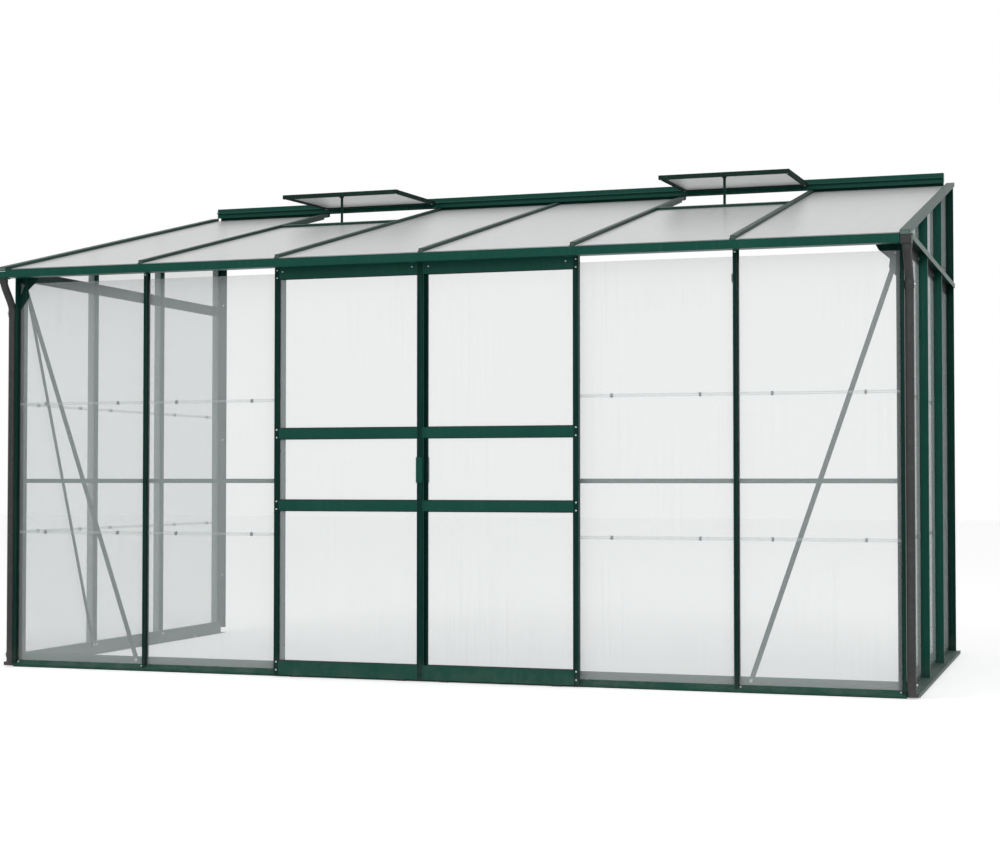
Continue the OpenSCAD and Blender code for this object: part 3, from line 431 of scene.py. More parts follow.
def painted(name, colour, rough=0.36, dust=0.5, rain=0.25, grain=0.16, shine=0.14):
    """Powder-coated aluminium: fine grain, a chalky bloom, dust, rain marks and rubbed edges."""
    tree, shader, place = begin(name)
    spray = use(tree, "Sprayed Grain", Vector=place)
    bloom = ramp(tree, noise(tree, place, 5.0, 5.0, 0.62), 0.35, 0.75)
    base = mixed(tree, times(tree, bloom, 0.45), opaque(colour), opaque(colour, 1.25, 0.003))
    base = mixed(tree, use(tree, "Rain Marks", Vector=place, Amount=rain)["Mask"], base, PAINT_RAIN)
    wear = use(tree, "Edge Wear", Vector=place)
    base = mixed(tree, times(tree, wear["Mask"], 0.35), base, PAINT_RUBBED)
    dusty = use(tree, "Settled Dust", Vector=place, Amount=dust)["Mask"]
    base = mixed(tree, dusty, base, PAINT_DUST)
    roughness = plus(tree, times(tree, spray["Mask"], 0.16), rough - 0.08)
    roughness = mixed(tree, dusty, roughness, 0.85, "FLOAT")
    bump = add(tree, "Bump", Strength=grain, Distance=0.0002, Height=spray["Height"],
               Normal=wear["Normal"])
    wire(tree, shader, Base_Color=base, Roughness=roughness, Normal=bump.outputs[0],
         Specular_IOR_Level=shine)


def moulded(name, colour, rough=0.45):
    """Moulded plastic or rubber: soft mottling, fine bump and a little dust."""
    tree, shader, place = begin(name)
    mottle = noise(tree, place, 35.0, 5.0, 0.65)
    base = mixed(tree, ramp(tree, mottle, 0.4, 0.7, 0.5), opaque(colour), opaque(colour, 1.4, 0.01))
    base = mixed(tree, use(tree, "Rain Marks", Vector=place, Amount=0.15)["Mask"], base, PLASTIC_RAIN)
    dusty = use(tree, "Settled Dust", Vector=place, Amount=0.35)["Mask"]
    base = mixed(tree, dusty, base, PLASTIC_DUST)
    spray = use(tree, "Sprayed Grain", Vector=place, Grain=2200.0)
    roughness = plus(tree, times(tree, mottle, 0.16), rough - 0.08)
    bump = add(tree, "Bump", Strength=0.1, Distance=0.0002, Height=spray["Height"])
    wire(tree, shader, Base_Color=base, Roughness=roughness, Normal=bump.outputs[0],
         Specular_IOR_Level=0.2)


def plated(name, tint=1.0):
    """Zinc-plated steel: bright metal with a spangle of grey cells and white bloom."""
    tree, shader, place = begin(name)
    cells = add(tree, "TexVoronoi", Vector=place, Scale=520.0)
    tone = add(tree, "SeparateColor", Color=cells.outputs["Color"]).outputs[0]
    base = mixed(tree, tone, opaque((0.50, 0.52, 0.54), tint), opaque((0.68, 0.69, 0.70), tint))
    bloom = use(tree, "Worn Spots", Vector=place, Size=260.0, Amount=0.7)["Mask"]
    base = mixed(tree, bloom, base, opaque((0.80, 0.80, 0.78), tint))
    metal = maths(tree, "SUBTRACT", 1.0, times(tree, bloom, 0.6))
    roughness = plus(tree, times(tree, tone, 0.18), 0.3)
    wire(tree, shader, Base_Color=base, Metallic=metal, Roughness=roughness)


def glazed(name, axis, colour, opacity):
    """Clear glass: a pale veil of painted reflection, faint rain marks, dirt near the sill and dense
    green cut edges.
    """
    tree, shader, place = begin(name)
    facing = add(tree, "VectorMath", {"operation": "DOT_PRODUCT"},
                 i0=add(tree, "NewGeometry").outputs["Normal"], i1=axis).outputs["Value"]
    cut = maths(tree, "LESS_THAN", maths(tree, "ABSOLUTE", facing), 0.6)
    streaks = use(tree, "Rain Marks", Vector=place, Amount=0.025)["Mask"]
    cloud = times(tree, maths(tree, "SUBTRACT", noise(tree, place, 2.2, 4.0, 0.6), 0.5), 0.04)
    height = add(tree, "SeparateXYZ", Vector=place).outputs["Z"]
    splash = ramp(tree, height, 0.16, 0.03, 0.05)
    # The pale veil's base opacity paints the reflection of the bright surroundings; rain marks and sill
    # dirt add to it, and the Fresnel term adds real reflection.
    veil = plus(tree, plus(tree, opacity, cloud), plus(tree, streaks, splash), True)
    behind = add(tree, "NewGeometry").outputs["Backfacing"]
    index = mixed(tree, behind, GLASS_IOR, 1 / GLASS_IOR, "FLOAT")
    veil = maths(tree, "MAXIMUM", veil, add(tree, "Fresnel", IOR=index).outputs[0])
    alpha = mixed(tree, cut, veil, 0.92, "FLOAT")
    base = mixed(tree, cut, opaque(colour), GLASS_CUT)
    bump = add(tree, "Bump", Strength=0.03, Distance=0.001, Height=noise(tree, place, 7.0, 1.0))
    wire(tree, shader, Base_Color=base, Alpha=alpha, Roughness=0.07, Normal=bump.outputs[0],
         Specular_IOR_Level=0.35)


def twin_wall(name, colour, opacity):
    """Milky twin-wall sheet: flutes down the slope, softly mottled, with dust in the flutes."""
    tree, shader, place = begin(name)
    across = times(tree, add(tree, "SeparateXYZ", Vector=place).outputs["X"], 1 / FLUTE)
    phase = maths(tree, "FRACT", across)
    rib = maths(tree, "LESS_THAN", maths(tree, "ABSOLUTE", maths(tree, "SUBTRACT", phase, 0.5)), 0.09)
    mottle = noise(tree, place, 4.0, 6.0, 0.65)
    long = add(tree, "Mapping", Vector=place, Scale=(60.0, 2.0, 2.0)).outputs[0]
    runs = ramp(tree, noise(tree, long, 1.0, 3.0), 0.5, 0.75, 0.16)
    dusty = use(tree, "Settled Dust", Vector=place, Amount=0.12)["Mask"]
    base = mixed(tree, times(tree, rib, 0.22), opaque(colour), SHEET_RIB)
    base = mixed(tree, times(tree, mottle, 0.14), base, SHEET_MOTTLE)
    base = mixed(tree, runs, base, SHEET_RUNS)
    base = mixed(tree, dusty, base, SHEET_DUST)
    alpha = plus(tree, opacity, times(tree, rib, 0.12), True)
    bump = add(tree, "Bump", Strength=0.2, Distance=0.0004, Height=maths(tree, "PINGPONG", across, 0.5))
    wire(tree, shader, Base_Color=base, Alpha=alpha, Roughness=0.28, Normal=bump.outputs[0])


def tinted(name, description, default):
    """A colour to set."""
    return FloatVectorProperty(name=name, description=description, subtype="COLOR", default=default,
                               min=0, max=1)


def number(name, description, default, least=None, most=None, **options):
    """A number to set, between its limits where these are given."""
    limits = {key: value for key, value in (("min", least), ("max", most)) if value is not None}
    return FloatProperty(name=name, description=description, default=default, **limits, **options)


class GreenhouseFinish(bpy.types.PropertyGroup):
    """Colours and surface values of the finishes."""

    frame_colour: tinted("Frame", "Powder coat of the bars, sills and rails", (0.0025, 0.0580, 0.0400))
    bar_colour: tinted("Posts", "Darker coat of the posts and front bars", (0.0010, 0.0240, 0.0175))
    roof_colour: tinted("Roof bars", "Powder coat of the roof bars and verges", (0.0180, 0.0560, 0.0450))
    pipe_colour: tinted("Rainwater plastic", "Plastic of the pipes and outlets", (0.0370, 0.0390, 0.0375))
    # The glass's pale veil is a painted reflection of the bright surroundings.
    reflection_veil_colour: tinted("Painted reflection tint", "Tint of the painted reflection on the glass", (0.700, 0.750, 0.750))
    veil: number("Painted reflection strength", "How much of what lies behind the glass is veiled", 0.225, 0.05, 1)
    sheet_colour: tinted("Roof sheet", "Milky colour of the roof sheets", (0.680, 0.700, 0.690))
    sheet_opacity: number("Roof opacity", "How milky the roof sheets are", 0.82, 0.2, 1)
    dust: number("Dust", "Dust on upward faces and splashes near the ground", 0.25, 0, 1)


class GreenhouseTrim(bpy.types.PropertyGroup):
    """Sizes of the seals and fixings, in millimetres, and the points of the swan necks."""

    seal_width: number("Seal width", "How far a glazing seal covers the pane", 3.5, 2, 6)
    seal_height: number("Seal height", "How far a glazing seal stands off the pane", 2.4, 1, 5)
    head_radius: number("Screw head", "Radius of the pan-head screws", 4.5, 3, 7)
    lap: number("Joint strip", "Height of the clear strip over a pane joint", 12, 6, 20)
    neck_points: IntProperty(
        name="Neck points", description="Points round a swan neck", default=48, min=16, max=96)


class GreenhouseStage(bpy.types.PropertyGroup):
    """The camera, lamps and background."""

    camera_place: FloatVectorProperty(
        name="Camera", description="Where the camera stands", subtype="TRANSLATION", unit="LENGTH",
        default=(2.593, -7.7605, 0.789))
    camera_turn: number("Turn", "How far the camera looks to the left", 0.3204, subtype="ANGLE")
    camera_tilt: number("Tilt", "How far the camera looks up", 0.0276, subtype="ANGLE")
    lens: number("Lens", "Focal length on a 36 mm frame", 67.01, 20, 200, subtype="DISTANCE_CAMERA")
    sky: number("Sky", "Strength of the even light from all round", 0.56, 0, 3)
    key: number("Key lamp", "Power of the large front lamp", 300, 0, subtype="POWER")
    fill: number("Top lamp", "Power of the lamp over the roof", 110, 0, subtype="POWER")


def settings():
    scene = bpy.context.scene
    return scene.greenhouse_finish, scene.greenhouse_trim, scene.greenhouse_stage


# Which finish each part of the frame gets, by the words in its name
COATS = [
    ("Roof sheet", ("roof_panels", "vent_pane")),
    ("Front glass", ("front_glass", "door_glass")),
    ("Gable glass", ("gable_glass",)),
    ("Zinc plate", ("frame_bolts",)),
    ("Nylon", ("roller", "guides")),
    ("Rainwater plastic", ("downpipe", "pipe_clips", "gutter_outlet")),
    ("Sill coat", ("side_sill",)),
    ("Vent coat", ("vent_frame",)),
    ("Roof coat", ("roof_bar", "verge_bar", "vent_sills")),
    ("Frame coat", ("front_sill", "eave_gutter", "ridge_bar", "waist_rails", "door_rails", "handle",
                    "gable_bars")),
    # The gable rail takes the darker post coat as painted shade on its web under the ledge.
    ("Post coat", ("post", "front_bar", "gable_rail", "door_track", "door_stiles", "corner_gussets",
                   "stay", "braces")),
]


class GREENHOUSE_OT_finishes(bpy.types.Operator):
    """Make the finishes and give them to the frame's own parts"""

    bl_idname = "greenhouse.finishes"
    bl_label = "Finishes"

    def execute(self, context):
        finish = settings()[0]
        dust = finish.dust
        make_groups()
        painted("Frame coat", finish.frame_colour, dust=dust)
        painted("Post coat", finish.bar_colour, dust=dust, shine=0.08)
        painted("Roof coat", finish.roof_colour, rough=0.44, dust=dust * 1.5)
        painted("Grey coat", (0.120, 0.170, 0.150), rough=0.5, dust=dust)
        painted("Sill coat", (0.0460, 0.0850, 0.0760), rough=0.5, dust=dust)
        painted("Vent coat", (0.0150, 0.0330, 0.0270), rough=0.6, dust=dust, shine=0.01)
        moulded("Rainwater plastic", finish.pipe_colour)
        # Black rubber for the seals and buffers, also the painted shadow on the gable rail's web.
        moulded("Black rubber and painted shade", (0.012, 0.012, 0.013), rough=0.62)
        moulded("Black plastic", (0.018, 0.018, 0.019), rough=0.5)
        moulded("Nylon", (0.022, 0.022, 0.024), rough=0.4)
        # Dark green for the plates on the right leaf's meeting stile: painted shade on the recessed
        # stile.
        painted("Stile shade coat", (0.0008, 0.0125, 0.0095), rough=0.9, dust=0.1, rain=0.05, grain=0.6,
                shine=0.02)
        plated("Zinc plate")
        plated("Dark zinc", 0.45)
        glazed("Front glass", (0.0, 1.0, 0.0), finish.reflection_veil_colour, finish.veil)
        glazed("Gable glass", (1.0, 0.0, 0.0), finish.reflection_veil_colour, finish.veil)
        twin_wall("Roof sheet", finish.sheet_colour, finish.sheet_opacity)
        for name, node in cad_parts.items():
            coat = next((coat for coat, words in COATS if any(w in name for w in words)), None)
            if coat is None:
                raise RuntimeError("no finish for " + name)
            node.data.materials.clear()
            node.data.materials.append(bpy.data.materials[coat])
        return {"FINISHED"}


def from_bar(profile, lines):
    """A profile laid along lines of (start, end, away from the pane, away from the bar)."""
    starts, ends, ups, toward = (np.array(v, float) for v in zip(*lines))
    swap = ((np.cross(ups, ends - starts) * toward).sum(1) < 0)[:, None]
    return strips(profile, np.where(swap, ends, starts), np.where(swap, starts, ends), ups)


def seal_outline(width, height):
    """A quarter ellipse on the pane against the bar: (w cos a, c + h sin a), c clear of the pane."""
    clear = 0.15
    turn = np.linspace(0, pi / 2, 7)
    curve = np.stack([width * np.cos(turn), clear + height * np.sin(turn)], axis=-1)
    return np.concatenate([curve, [[0.0, clear]]])


def plate(low, high):
    """A box between two corners."""
    low, high = np.array(low, float), np.array(high, float)
    size, middle = high - low, (low + high) / 2
    flat = np.array([(-1, -1), (1, -1), (1, 1), (-1, 1)]) * size[:2] / 2 + middle[:2]
    return ring_grid(np.array([np.column_stack([flat, np.full(4, z)]) for z in (low[2], high[2])]))


def mirrored(shape, side):
    """The shape itself on the right side, and its mirror image on the left."""
    return np.asarray(shape[0], float) * [side, 1, 1], shape[1]


class GREENHOUSE_OT_seals(bpy.types.Operator):
    """Press black seals along the edges of every pane"""

    bl_idname = "greenhouse.seals"
    bl_label = "Glazing seals"

    def execute(self, context):
        trim = settings()[1]
        outline = seal_outline(trim.seal_width, trim.seal_height)
        piece("front_seals", from_bar(outline, self.front()), "Black rubber and painted shade")
        piece("gable_seals", from_bar(outline, self.gables()), "Black rubber and painted shade")
        piece("roof_seals", from_bar(outline, self.roof()), "Black rubber and painted shade")
        for side, word in SIDE.items():
            leaf, vent = from_bar(outline, self.leaf(side)), from_bar(outline, self.vent(side))
            piece(word + "_door_seals", leaf, "Black rubber and painted shade", "door_" + word)
            piece(word + "_vent_seals", vent, "Black rubber and painted shade", "vent_" + word)
        return {"FINISHED"}

    def front(self):
        places = [(BAY + RIB, 1), (2 * BAY - RIB, -1), (2 * BAY + RIB, 1), (CORNER_X, -1)]
        return [((s * x, 0, SEAT_Z), (s * x, 0, GLASS_TOP), FRONT, (s * t, 0, 0))
                for s in SIDES for x, t in places]

    def gables(self):
        places = [(POST_BACK, 1), (WALL_SEAT, -1)]
        places += [(n * BAY + t * NECK, t) for n in (1, 2) for t in SIDES]
        return [((s * GABLE_X, y, low), (s * GABLE_X, y, high), (s, 0, 0), (0, t, 0))
                for s in SIDES for y, t in places
                for low, high in ((SEAT_Z, RAIL_LOW), (RAIL_TOP, under_bars(y) - 3))]

    def roof(self):
        """Seals on the roof sheets; the sheets below the vents end short."""
        lines = []
        for n in range(-3, 3):
            top = up_slope(SHORT_SHEET_END if n in (-2, 1) else SHEET_END)
            low_x = n * BAY + ROOF_RIB if n > -3 else -VERGE_IN
            high_x = (n + 1) * BAY - ROOF_RIB if n < 2 else VERGE_IN
            for x, t in ((low_x, 1), (high_x, -1)):
                start, end = slope(x, SHEET_START, SHEET_TOP), slope(x, top, SHEET_TOP)
                lines.append((start, end, SLOPE_UP, (t, 0, 0)))
        return lines

    def leaf(self, side):
        """Seals on a leaf's three panes: down both stiles, and between these along the rails."""
        left, right = LEAF_IN + STILE, LEAF_OUT - STILE
        lines = []
        for low, high in LEAF_ROWS:
            lines += [(left, low, left, high, 1, 0), (right, low, right, high, -1, 0),
                      (left + 3, low, right - 3, low, 0, 1), (left + 3, high, right - 3, high, 0, -1)]
        return [((side * x, PANE_FRONT, z), (side * x_end, PANE_FRONT, z_end), FRONT, (side * a, 0, b))
                for x, z, x_end, z_end, a, b in lines]

    def vent(self, side):
        """Seals on both faces of the vent's pane, along all four rails."""
        x, low, high = VENT_W / 2 - VENT_RAIL, -VENT_LEN + VENT_RAIL, VENT_TOP
        rails = [((-x, low), (-x, high), (1, 0, 0)), ((x, low), (x, high), (-1, 0, 0)),
                 ((-x + 3, low), (x - 3, low), BACK), ((-x + 3, high), (x - 3, high), FRONT)]
        return [(on_vent(side, *a, z), on_vent(side, *b, z), up, toward)
                for z, up in ((VENT_ABOVE, VENT_UP), (VENT_BELOW, VENT_DOWN)) for a, b, toward in rails]


class GREENHOUSE_OT_joints(bpy.types.Operator):
    """Lay clear strips over the joints between the panes, and hold them by bowed clips on both faces"""

    bl_idname = "greenhouse.joints"
    bl_label = "Pane joints"

    def execute(self, context):
        half = settings()[1].lap / 2
        low, bow, thick, knee = 0.2, 5.5, 0.8, 2.2
        aside, half_clip = 172, 3.5
        strip = [(-half, low), (half, low), (half, low + 1), (-half, low + 1)]
        hook = half + 1.8
        clip = [(-hook, low), (thick - hook, low), (thick - hook, knee), (-knee, bow - thick),
                (knee, bow - thick), (hook - thick, knee), (hook - thick, low), (hook, low),
                (hook, 2.6), (2.5, bow), (-2.5, bow), (-hook, 2.6)]
        inner = [(a, -GLASS - u) for a, u in clip]
        web = [(-0.3, 0.4 - GLASS - bow), (0.3, 0.4 - GLASS - bow), (0.3, bow - 0.4), (-0.3, bow - 0.4)]
        front_bays = [(BAY + 10.5, 2 * BAY - 10.5), (2 * BAY + 10.5, CORNER_X - 4.5)]
        front, gable, front_clips, gable_clips = [], [], [], []
        for z in (SEAT_Z + PANE - 0.5, SEAT_Z + 2 * PANE - 0.5):
            for s in SIDES:
                for a, b in front_bays:
                    front.append(((s * a, 0, z), (s * b, 0, z), FRONT, UP))
                    front_clips += [((s * x - half_clip, 0, z), (s * x + half_clip, 0, z), FRONT, UP)
                                    for x in ((a + b) / 2 - aside, (a + b) / 2 + aside)]
                for a, b in gable_bays(4.5, 8.5, 12.5):
                    x, out = s * GABLE_X, (s, 0, 0)
                    gable.append(((x, a, z), (x, b, z), out, UP))
                    gable_clips += [((x, y - half_clip, z), (x, y + half_clip, z), out, UP)
                                    for y in ((a + b) / 2 - aside, (a + b) / 2 + aside)]
        piece("front_joint_strips", from_bar(strip, front), "Front glass")
        piece("gable_joint_strips", from_bar(strip, gable), "Gable glass")
        for name, lines, finish in (("front_clips", front_clips, "Dark zinc"),
                                    ("gable_clips", gable_clips, "Black plastic")):
            piece(name, join(*(from_bar(shape, lines) for shape in (clip, inner, web))), finish)
        return {"FINISHED"}


class GREENHOUSE_OT_fixings(bpy.types.Operator):
    """Put in the screws, the floor bolts and the head plates"""

    bl_idname = "greenhouse.fixings"
    bl_label = "Fixings"

    def execute(self, context):
        radius = settings()[1].head_radius
        small = cross_head(radius * 0.8, 1.8)
        middles = [(n + 0.5) * BAY for n in range(-3, 3)]
        self.put("frame_screws", cross_head(radius), self.frame_screws(middles))
        bolts = [((x, ANCHOR, SILL_FLOOR), UP) for x in middles]
        bolts += [((s * (GABLE_X - ANCHOR), y, SILL_FLOOR), UP) for s in SIDES for y in middles[3:]]
        self.put("floor_bolts", hex_head(10, 5, 8.5), bolts)
        for side, word in SIDE.items():
            self.put(word + "_door_screws", small, self.leaf_screws(side), "door_" + word)
            self.put(word + "_handle_screws", small, self.grip_screws(side), "door_" + word, "Frame coat")
            self.put(word + "_vent_screws", small, self.vent_screws(side), "vent_" + word)
        self.head_plates()
        return {"FINISHED"}

    def put(self, name, head, screws, body="frame", finish="Zinc plate"):
        piece(name, copies(head, *zip(*screws)), finish, body)

    def frame_screws(self, middles):
        """In the sill's slanted band, door track, wall posts, ridge, gable rails and pipe clips."""
        band_y, band_z, band_way = -8, 21.7, (0, -0.62, 0.785)
        track_y, track_z = -19, 1645
        wall_x, wall_heights = 1829, (300, 1000, 1700)
        clip_x, clip_heights = PIPE_X + PIPE_R + 2.5, (PIPE_TOP, 50)
        screws = [((s * x, band_y, band_z), band_way)
                  for s in SIDES for x in (2 * BAY + 14, CORNER_X - 7)]
        screws += [((s * (2 * BAY - 0.5), track_y, track_z), FRONT) for s in SIDES]
        screws += [((s * wall_x, WALL_Y - 1.6, z), FRONT) for s in SIDES for z in wall_heights]
        screws += [((x, WALL_Y - 2, RIDGE_TOP - 16), FRONT) for x in middles]
        screws += [((s * GABLE_X, n * BAY + t * 20, RAIL_TOP - 25), (s, 0, 0))
                   for s in SIDES for n in (1, 2) for t in SIDES]
        return screws + [((s * clip_x, PIPE_Y - 4, z), FRONT) for s in SIDES for z in clip_heights]

    def leaf_screws(self, side):
        """Down the outer stile at each end of the panes, and two in the top rail."""
        x = side * (LEAF_OUT - STILE / 2)
        near = [z + away for row in LEAF_ROWS for z, away in zip(row, (-5, 5))]
        heights = near[:1] + [LEAF_ROWS[0][0] - 37] + near[1:] + [LEAF_ROWS[2][1] + 36]
        tops = (604, 44.5) if side < 0 else (25, 587)
        return ([((x, LEAF_FRONT, z), FRONT) for z in heights]
                + [((side * top, LEAF_FRONT, 1632), FRONT) for top in tops])

    def grip_screws(self, side):
        """In front of the left leaf's handle plate, behind the right leaf's pull."""
        middle, half = 830, 38
        x, y, way = (-15, LEAF_FRONT - 3.6, FRONT) if side < 0 else (12, LEAF_BACK + 2.4, BACK)
        return [((x, y, middle + t * half), way) for t in SIDES]

    def vent_screws(self, side):
        """Below and above each corner of the vent's frame, whose rails differ in depth."""
        rails = (10 - VENT_LEN, -10, 9), (-24, -8, 8)
        corners = [(t * (VENT_W / 2 - 10), *rail) for t in SIDES for rail in rails]
        return ([(on_vent(side, x, y, below), VENT_DOWN) for x, y, below, above in corners]
                + [(on_vent(side, x, y, above), VENT_UP) for x, y, below, above in corners])

    def head_plates(self):
        """Plates behind the heads of the middle front bars, each with a nut."""
        x, half, low, high = 1235.5, 14.5, 1533, 1566
        plates = [plate((s * x - half, BOLT_PLANE, low), (s * x + half, BOLT_PLANE + 2, high))
                  for s in SIDES]
        piece("head_plates", join(*plates), "Post coat")
        places = [(s * 2 * BAY, BOLT_PLANE + 2, 1549) for s in SIDES]
        piece("head_plate_nuts", copies(hex_head(10, 5), places, [BACK, BACK]), "Zinc plate")


class GREENHOUSE_OT_rainwater(bpy.types.Operator):
    """Draw the swan necks and the end boxes of the gutter"""

    bl_idname = "greenhouse.rainwater"
    bl_label = "Rainwater"

    def execute(self, context):
        points = settings()[1].neck_points
        for side, word in SIDE.items():
            neck = piece(word + "_swan_neck", mirrored(self.neck(points), side), "Rainwater plastic")
            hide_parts(word + "_gutter_outlet")
            piece(word + "_gutter_end", mirrored(self.end_box(), side),
                  "Frame coat" if side < 0 else "Rainwater plastic")
        return {"FINISHED"}

    def neck(self, points):
        """A tube along (1-t)^3 a + 3 (1-t)^2 t b + 3 (1-t) t^2 c + t^3 d, with a wider top."""
        t = np.linspace(0, 1, 33)[:, None]
        a, b = np.array([OUTLET_Y, OUTLET_LOW + 4]), np.array([OUTLET_Y, OUTLET_LOW - 42])
        c, d = np.array([PIPE_Y, PIPE_TOP + 50]), np.array([PIPE_Y, PIPE_TOP + 1])
        line = (1 - t) ** 3 * a + 3 * (1 - t) ** 2 * t * b + 3 * (1 - t) * t ** 2 * c + t ** 3 * d
        along = np.gradient(line, axis=0)
        along /= np.linalg.norm(along, axis=1, keepdims=True)
        turn = np.linspace(0, 2 * pi, points, endpoint=False)
        radius = PIPE_R + 2.2 * np.clip((0.16 - t) / 0.03, 0, 1)
        other = radius * np.sin(turn)
        rings = np.stack([PIPE_X + radius * np.cos(turn), line[:, :1] - along[:, 1:] * other,
                          line[:, 1:] + along[:, :1] * other], axis=-1)
        return ring_grid(rings)

    def end_box(self):
        """The box over the gutter's end: rounded outlines up the outside and down the inside."""
        low, high = np.array([OUTLET_IN, GUTTER_OUT]), np.array([OUTLET_OUT, OUTLET_BACK])
        middle, size = (low + high) / 2, high - low
        base, rim = OUTLET_LOW, OUTLET_TOP
        steps = [(4, base), (1.5, base + 1), (0, base + 4), (0, rim - 7), (0, rim - 1), (0.8, rim),
                 (2.2, rim), (2.6, rim - 1), (2.8, base + 6), (4, base + 5)]
        rings = []
        for inset, z in steps:
            flat = round_box(size - 2 * inset, 5 - inset / 2, 6) + middle
            rings.append(np.column_stack([flat, np.full(len(flat), z)]))
        return ring_grid(np.array(rings))


class GREENHOUSE_OT_end_caps(bpy.types.Operator):
    """Close the open ends of the bars, and paint a highlight on the gable rail's lip and shadow on its
    web
    """

    bl_idname = "greenhouse.end_caps"
    bl_label = "End caps"

    def execute(self, context):
        verge_width, bar_width, height = 32.4, 16.4, 14
        ends = [(s * (GABLE_X + 22), up_slope(GUTTER_OUT), verge_width) for s in SIDES]
        ends += [(n * BAY, 0, bar_width) for n in range(-2, 3)]
        plugs = [strips(round_box((width, height), 1), [slope(x, start + 0.4, BAR_MIDDLE)],
                        [slope(x, start + 3, BAR_MIDDLE)], [SLOPE_UP]) for x, start, width in ends]
        piece("bar_plugs", join(*plugs), "Grey coat")
        piece("ridge_ends", join(*(self.ridge_end(s) for s in SIDES)), "Frame coat")
        # The lip's pale grey coat is a painted highlight along the gable rail's outer edge.
        x, half = GABLE_X + 38.9, 0.8
        lip = [plate((s * x - half, POST_BACK - 19, RAIL_TOP - 22), (s * x + half, WALL_SEAT, RAIL_TOP))
               for s in SIDES]
        piece("gable_rail_lips", join(*lip), "Grey coat")
        # Black plates on the rail's web between the bars: painted shadow under the ledge.
        web_shade = [mirrored(plate((GABLE_X + 0.1, a, RAIL_LOW + 1), (GABLE_X + 0.9, b, RAIL_TOP - 3.5)), s)
                 for s in SIDES for a, b in gable_bays(1, 7, 13)]
        piece("gable_rail_web_shade", join(*web_shade), "Black rubber and painted shade")
        return {"FINISHED"}

    def ridge_end(self, side):
        """A plate over the end of the ridge flashing, clear of the roof sheet below it."""
        low, high = (EAVE_Z + 3 + (y - EAVE_Y) * tan(PITCH) for y in (RIDGE_FACE, WALL_Y))
        outline = [(RIDGE_FACE, low), (WALL_Y, high), (WALL_Y, RIDGE_TOP), (RIDGE_FACE, RIDGE_TOP)]
        rings = [np.column_stack([np.full(4, side * (RIDGE_END + x)), outline]) for x in (0.1, 2)]
        return ring_grid(np.array(rings))


class GREENHOUSE_OT_door_trim(bpy.types.Operator):
    """Dress the meeting stiles, the rollers and the track"""

    bl_idname = "greenhouse.door_trim"
    bl_label = "Door trim"

    def execute(self, context):
        outer, inner = LEAF_FRONT - 0.5, LEAF_FRONT - 0.05
        # Dark plates between the rails on the right leaf's meeting stile: painted shade on the recessed
        # stile.
        stile_shade = [plate((8.2, outer, low), (20.5, inner, high)) for low, high in LEAF_ROWS]
        piece("meeting_stile_shade", join(*stile_shade), "Stile shade coat", "door_right")
        edges = [LEAF_LOW] + [z for row in LEAF_ROWS for z in row] + [LEAF_TOP]
        caps = [plate((0.6, outer, low), (21, inner, high)) for low, high in zip(edges[::2], edges[1::2])]
        piece("rail_end_plates", join(*caps), "Frame coat", "door_right")
        x, y = 6.4, LEAF_FRONT - 1.6
        bead = strips(round_box((2.6, 2), 0.9, 5), [(x, y, LEAF_LOW)], [(x, y, LEAF_TOP)], [FRONT])
        piece("meeting_bead", bead, "Frame coat", "door_right")
        ring = lathe([(3.3, 0), (5.4, 0), (5.4, 0.4), (3.3, 0.4)], 32)
        clip = lathe([(3.05, 0), (4.8, 0), (4.8, 0.5), (3.05, 0.5)], 24)
        for side, word in SIDE.items():
            for n, x in enumerate(ROLLERS, 1):
                bearing = copies(ring, [(side * x, ROLLER_BACK + 0.05, AXLE_Z)], [BACK])
                piece(f"{word}_bearing_{n}", bearing, "Zinc plate", f"roller_{word}_{n}")
            places = [(side * x, ROLLER_BACK + 0.5, AXLE_Z) for x in ROLLERS]
            piece(word + "_axle_clips", copies(clip, places, [BACK] * 2), "Dark zinc", "door_" + word)
        pad = plate((2 * BAY - 6, -21, AXLE_Z - 8), (2 * BAY - 3.2, -13, AXLE_Z))
        piece("track_buffers", join(*(mirrored(pad, s) for s in SIDES)), "Black rubber and painted shade")
        return {"FINISHED"}


class GREENHOUSE_OT_vent_trim(bpy.types.Operator):
    """Stop the vents from sliding along the ridge bead"""

    bl_idname = "greenhouse.vent_trim"
    bl_label = "Vent trim"

    def execute(self, context):
        ends = [(s * VENT_X + t * (VENT_W / 2 + 1), t) for s in SIDES for t in SIDES]
        width, length = 9, 7
        stops = [strips(round_box((width, width), 4.4, 8), [(x, HINGE_Y, HINGE_Z)],
                        [(x + t * length, HINGE_Y, HINGE_Z)], [UP]) for x, t in ends]
        piece("vent_stops", join(*stops), "Black plastic")
        return {"FINISHED"}


def seen_light(tree):
    """1 on camera, glossy and transmission rays, and 0 on the others."""
    rays = add(tree, "LightPath").outputs
    mirrored_rays = maths(tree, "MAXIMUM", rays["Is Glossy Ray"], rays["Is Transmission Ray"])
    return maths(tree, "MAXIMUM", rays["Is Camera Ray"], mirrored_rays)


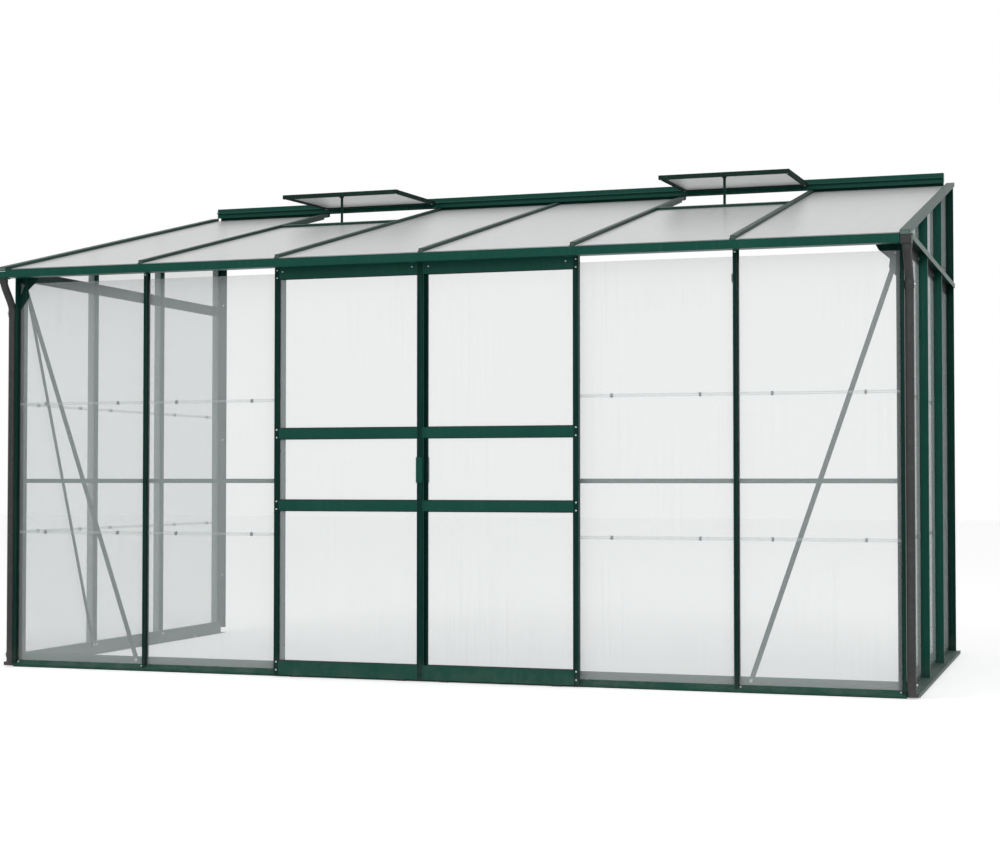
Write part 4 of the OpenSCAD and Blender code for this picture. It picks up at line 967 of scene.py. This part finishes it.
class GREENHOUSE_OT_stage(bpy.types.Operator):
    """Make the camera, the lamps, the pale floor and the white surroundings"""

    bl_idname = "greenhouse.stage"
    bl_label = "Stage"

    def execute(self, context):
        stage = settings()[2]
        scene = context.scene
        scene.view_settings.view_transform = "Standard"
        data = bpy.data.cameras.new("Photo camera")
        data.lens, data.sensor_width = stage.lens, 36
        data.clip_end = 200
        camera = bpy.data.objects.new("Photo camera", data)
        camera.location = stage.camera_place
        camera.rotation_euler = Euler((pi / 2 + stage.camera_tilt, 0, stage.camera_turn))
        scene.collection.objects.link(camera)
        scene.camera = camera
        self.surround(scene, stage.sky)
        self.lamp("Key lamp", stage.key, (5.5, -9.0, 5.5), 5.0)
        self.lamp("Top lamp", stage.fill, (-3.0, -4.0, 7.5), 5.0)
        self.floor()
        return {"FINISHED"}

    def surround(self, scene, sky):
        """White to the rays that are seen, and an even light of its own strength to the others."""
        world = bpy.data.worlds.new("Studio")
        world.use_nodes = True
        scene.world = world
        tree = world.node_tree
        tree.nodes.clear()
        strength = mixed(tree, seen_light(tree), sky, 1.0, "FLOAT")
        light = add(tree, "Background", Color=WHITE, Strength=strength)
        tree.links.new(light.outputs[0], add(tree, "OutputWorld").inputs[0])

    def lamp(self, name, power, place, size):
        """A round lamp that shines on the object's middle."""
        data = bpy.data.lights.new(name, "AREA")
        data.energy, data.size, data.shape = power, size, "DISK"
        lamp = bpy.data.objects.new(name, data)
        lamp.location = place
        lamp.rotation_euler = (Vector((0, 0, 0.9)) - lamp.location).to_track_quat("-Z", "Y").to_euler()
        bpy.context.scene.collection.objects.link(lamp)

    def floor(self):
        """A pale floor that the camera sees nearly white, with the object's shadow kept."""
        tree, shader, place = begin("Floor")
        grain = times(tree, noise(tree, place, 120.0, 3.0), 0.06)
        tone = mixed(tree, grain, opaque((0.9, 0.9, 0.9)), opaque((0.8, 0.8, 0.8)))
        wire(tree, shader, Base_Color=tone, Roughness=0.7, Specular_IOR_Level=0.2, Emission_Color=WHITE,
             Emission_Strength=times(tree, seen_light(tree), 0.40))
        mesh = bpy.data.meshes.new("Floor")
        far = 30
        corners = [(-far, -far, 0), (far, -far, 0), (far, far, 0), (-far, far, 0)]
        mesh.from_pydata(corners, [], [(0, 1, 2, 3)])
        mesh.materials.append(bpy.data.materials["Floor"])
        floor = bpy.data.objects.new("Floor", mesh)
        bpy.context.scene.collection.objects.link(floor)


CLASSES = [GreenhouseFinish, GreenhouseTrim, GreenhouseStage, GREENHOUSE_OT_finishes, GREENHOUSE_OT_seals,
           GREENHOUSE_OT_joints, GREENHOUSE_OT_fixings, GREENHOUSE_OT_rainwater, GREENHOUSE_OT_end_caps,
           GREENHOUSE_OT_door_trim, GREENHOUSE_OT_vent_trim, GREENHOUSE_OT_stage]
PIECES = ["finishes", "seals", "joints", "fixings", "rainwater", "end_caps", "door_trim", "vent_trim",
          "stage"]


class GREENHOUSE_PT_panel(bpy.types.Panel):
    """The greenhouse's sizes, colours and pieces"""

    bl_label = "Greenhouse"
    bl_idname = "GREENHOUSE_PT_panel"
    bl_space_type = "VIEW_3D"
    bl_region_type = "UI"
    bl_category = "Greenhouse"

    def draw(self, context):
        for values in settings():
            box = self.layout.box()
            for name in values.__annotations__:
                box.prop(values, name)
        for name in PIECES:
            self.layout.operator("greenhouse." + name)


def register():
    for cls in CLASSES + [GREENHOUSE_PT_panel]:
        bpy.utils.register_class(cls)
    bpy.types.Scene.greenhouse_finish = PointerProperty(type=GreenhouseFinish)
    bpy.types.Scene.greenhouse_trim = PointerProperty(type=GreenhouseTrim)
    bpy.types.Scene.greenhouse_stage = PointerProperty(type=GreenhouseStage)


def unregister():
    del bpy.types.Scene.greenhouse_stage
    del bpy.types.Scene.greenhouse_trim
    del bpy.types.Scene.greenhouse_finish
    for cls in reversed(CLASSES + [GREENHOUSE_PT_panel]):
        bpy.utils.unregister_class(cls)


def main():
    register()
    for name in PIECES:
        getattr(bpy.ops.greenhouse, name)()


if __name__ == "__main__":
    main()
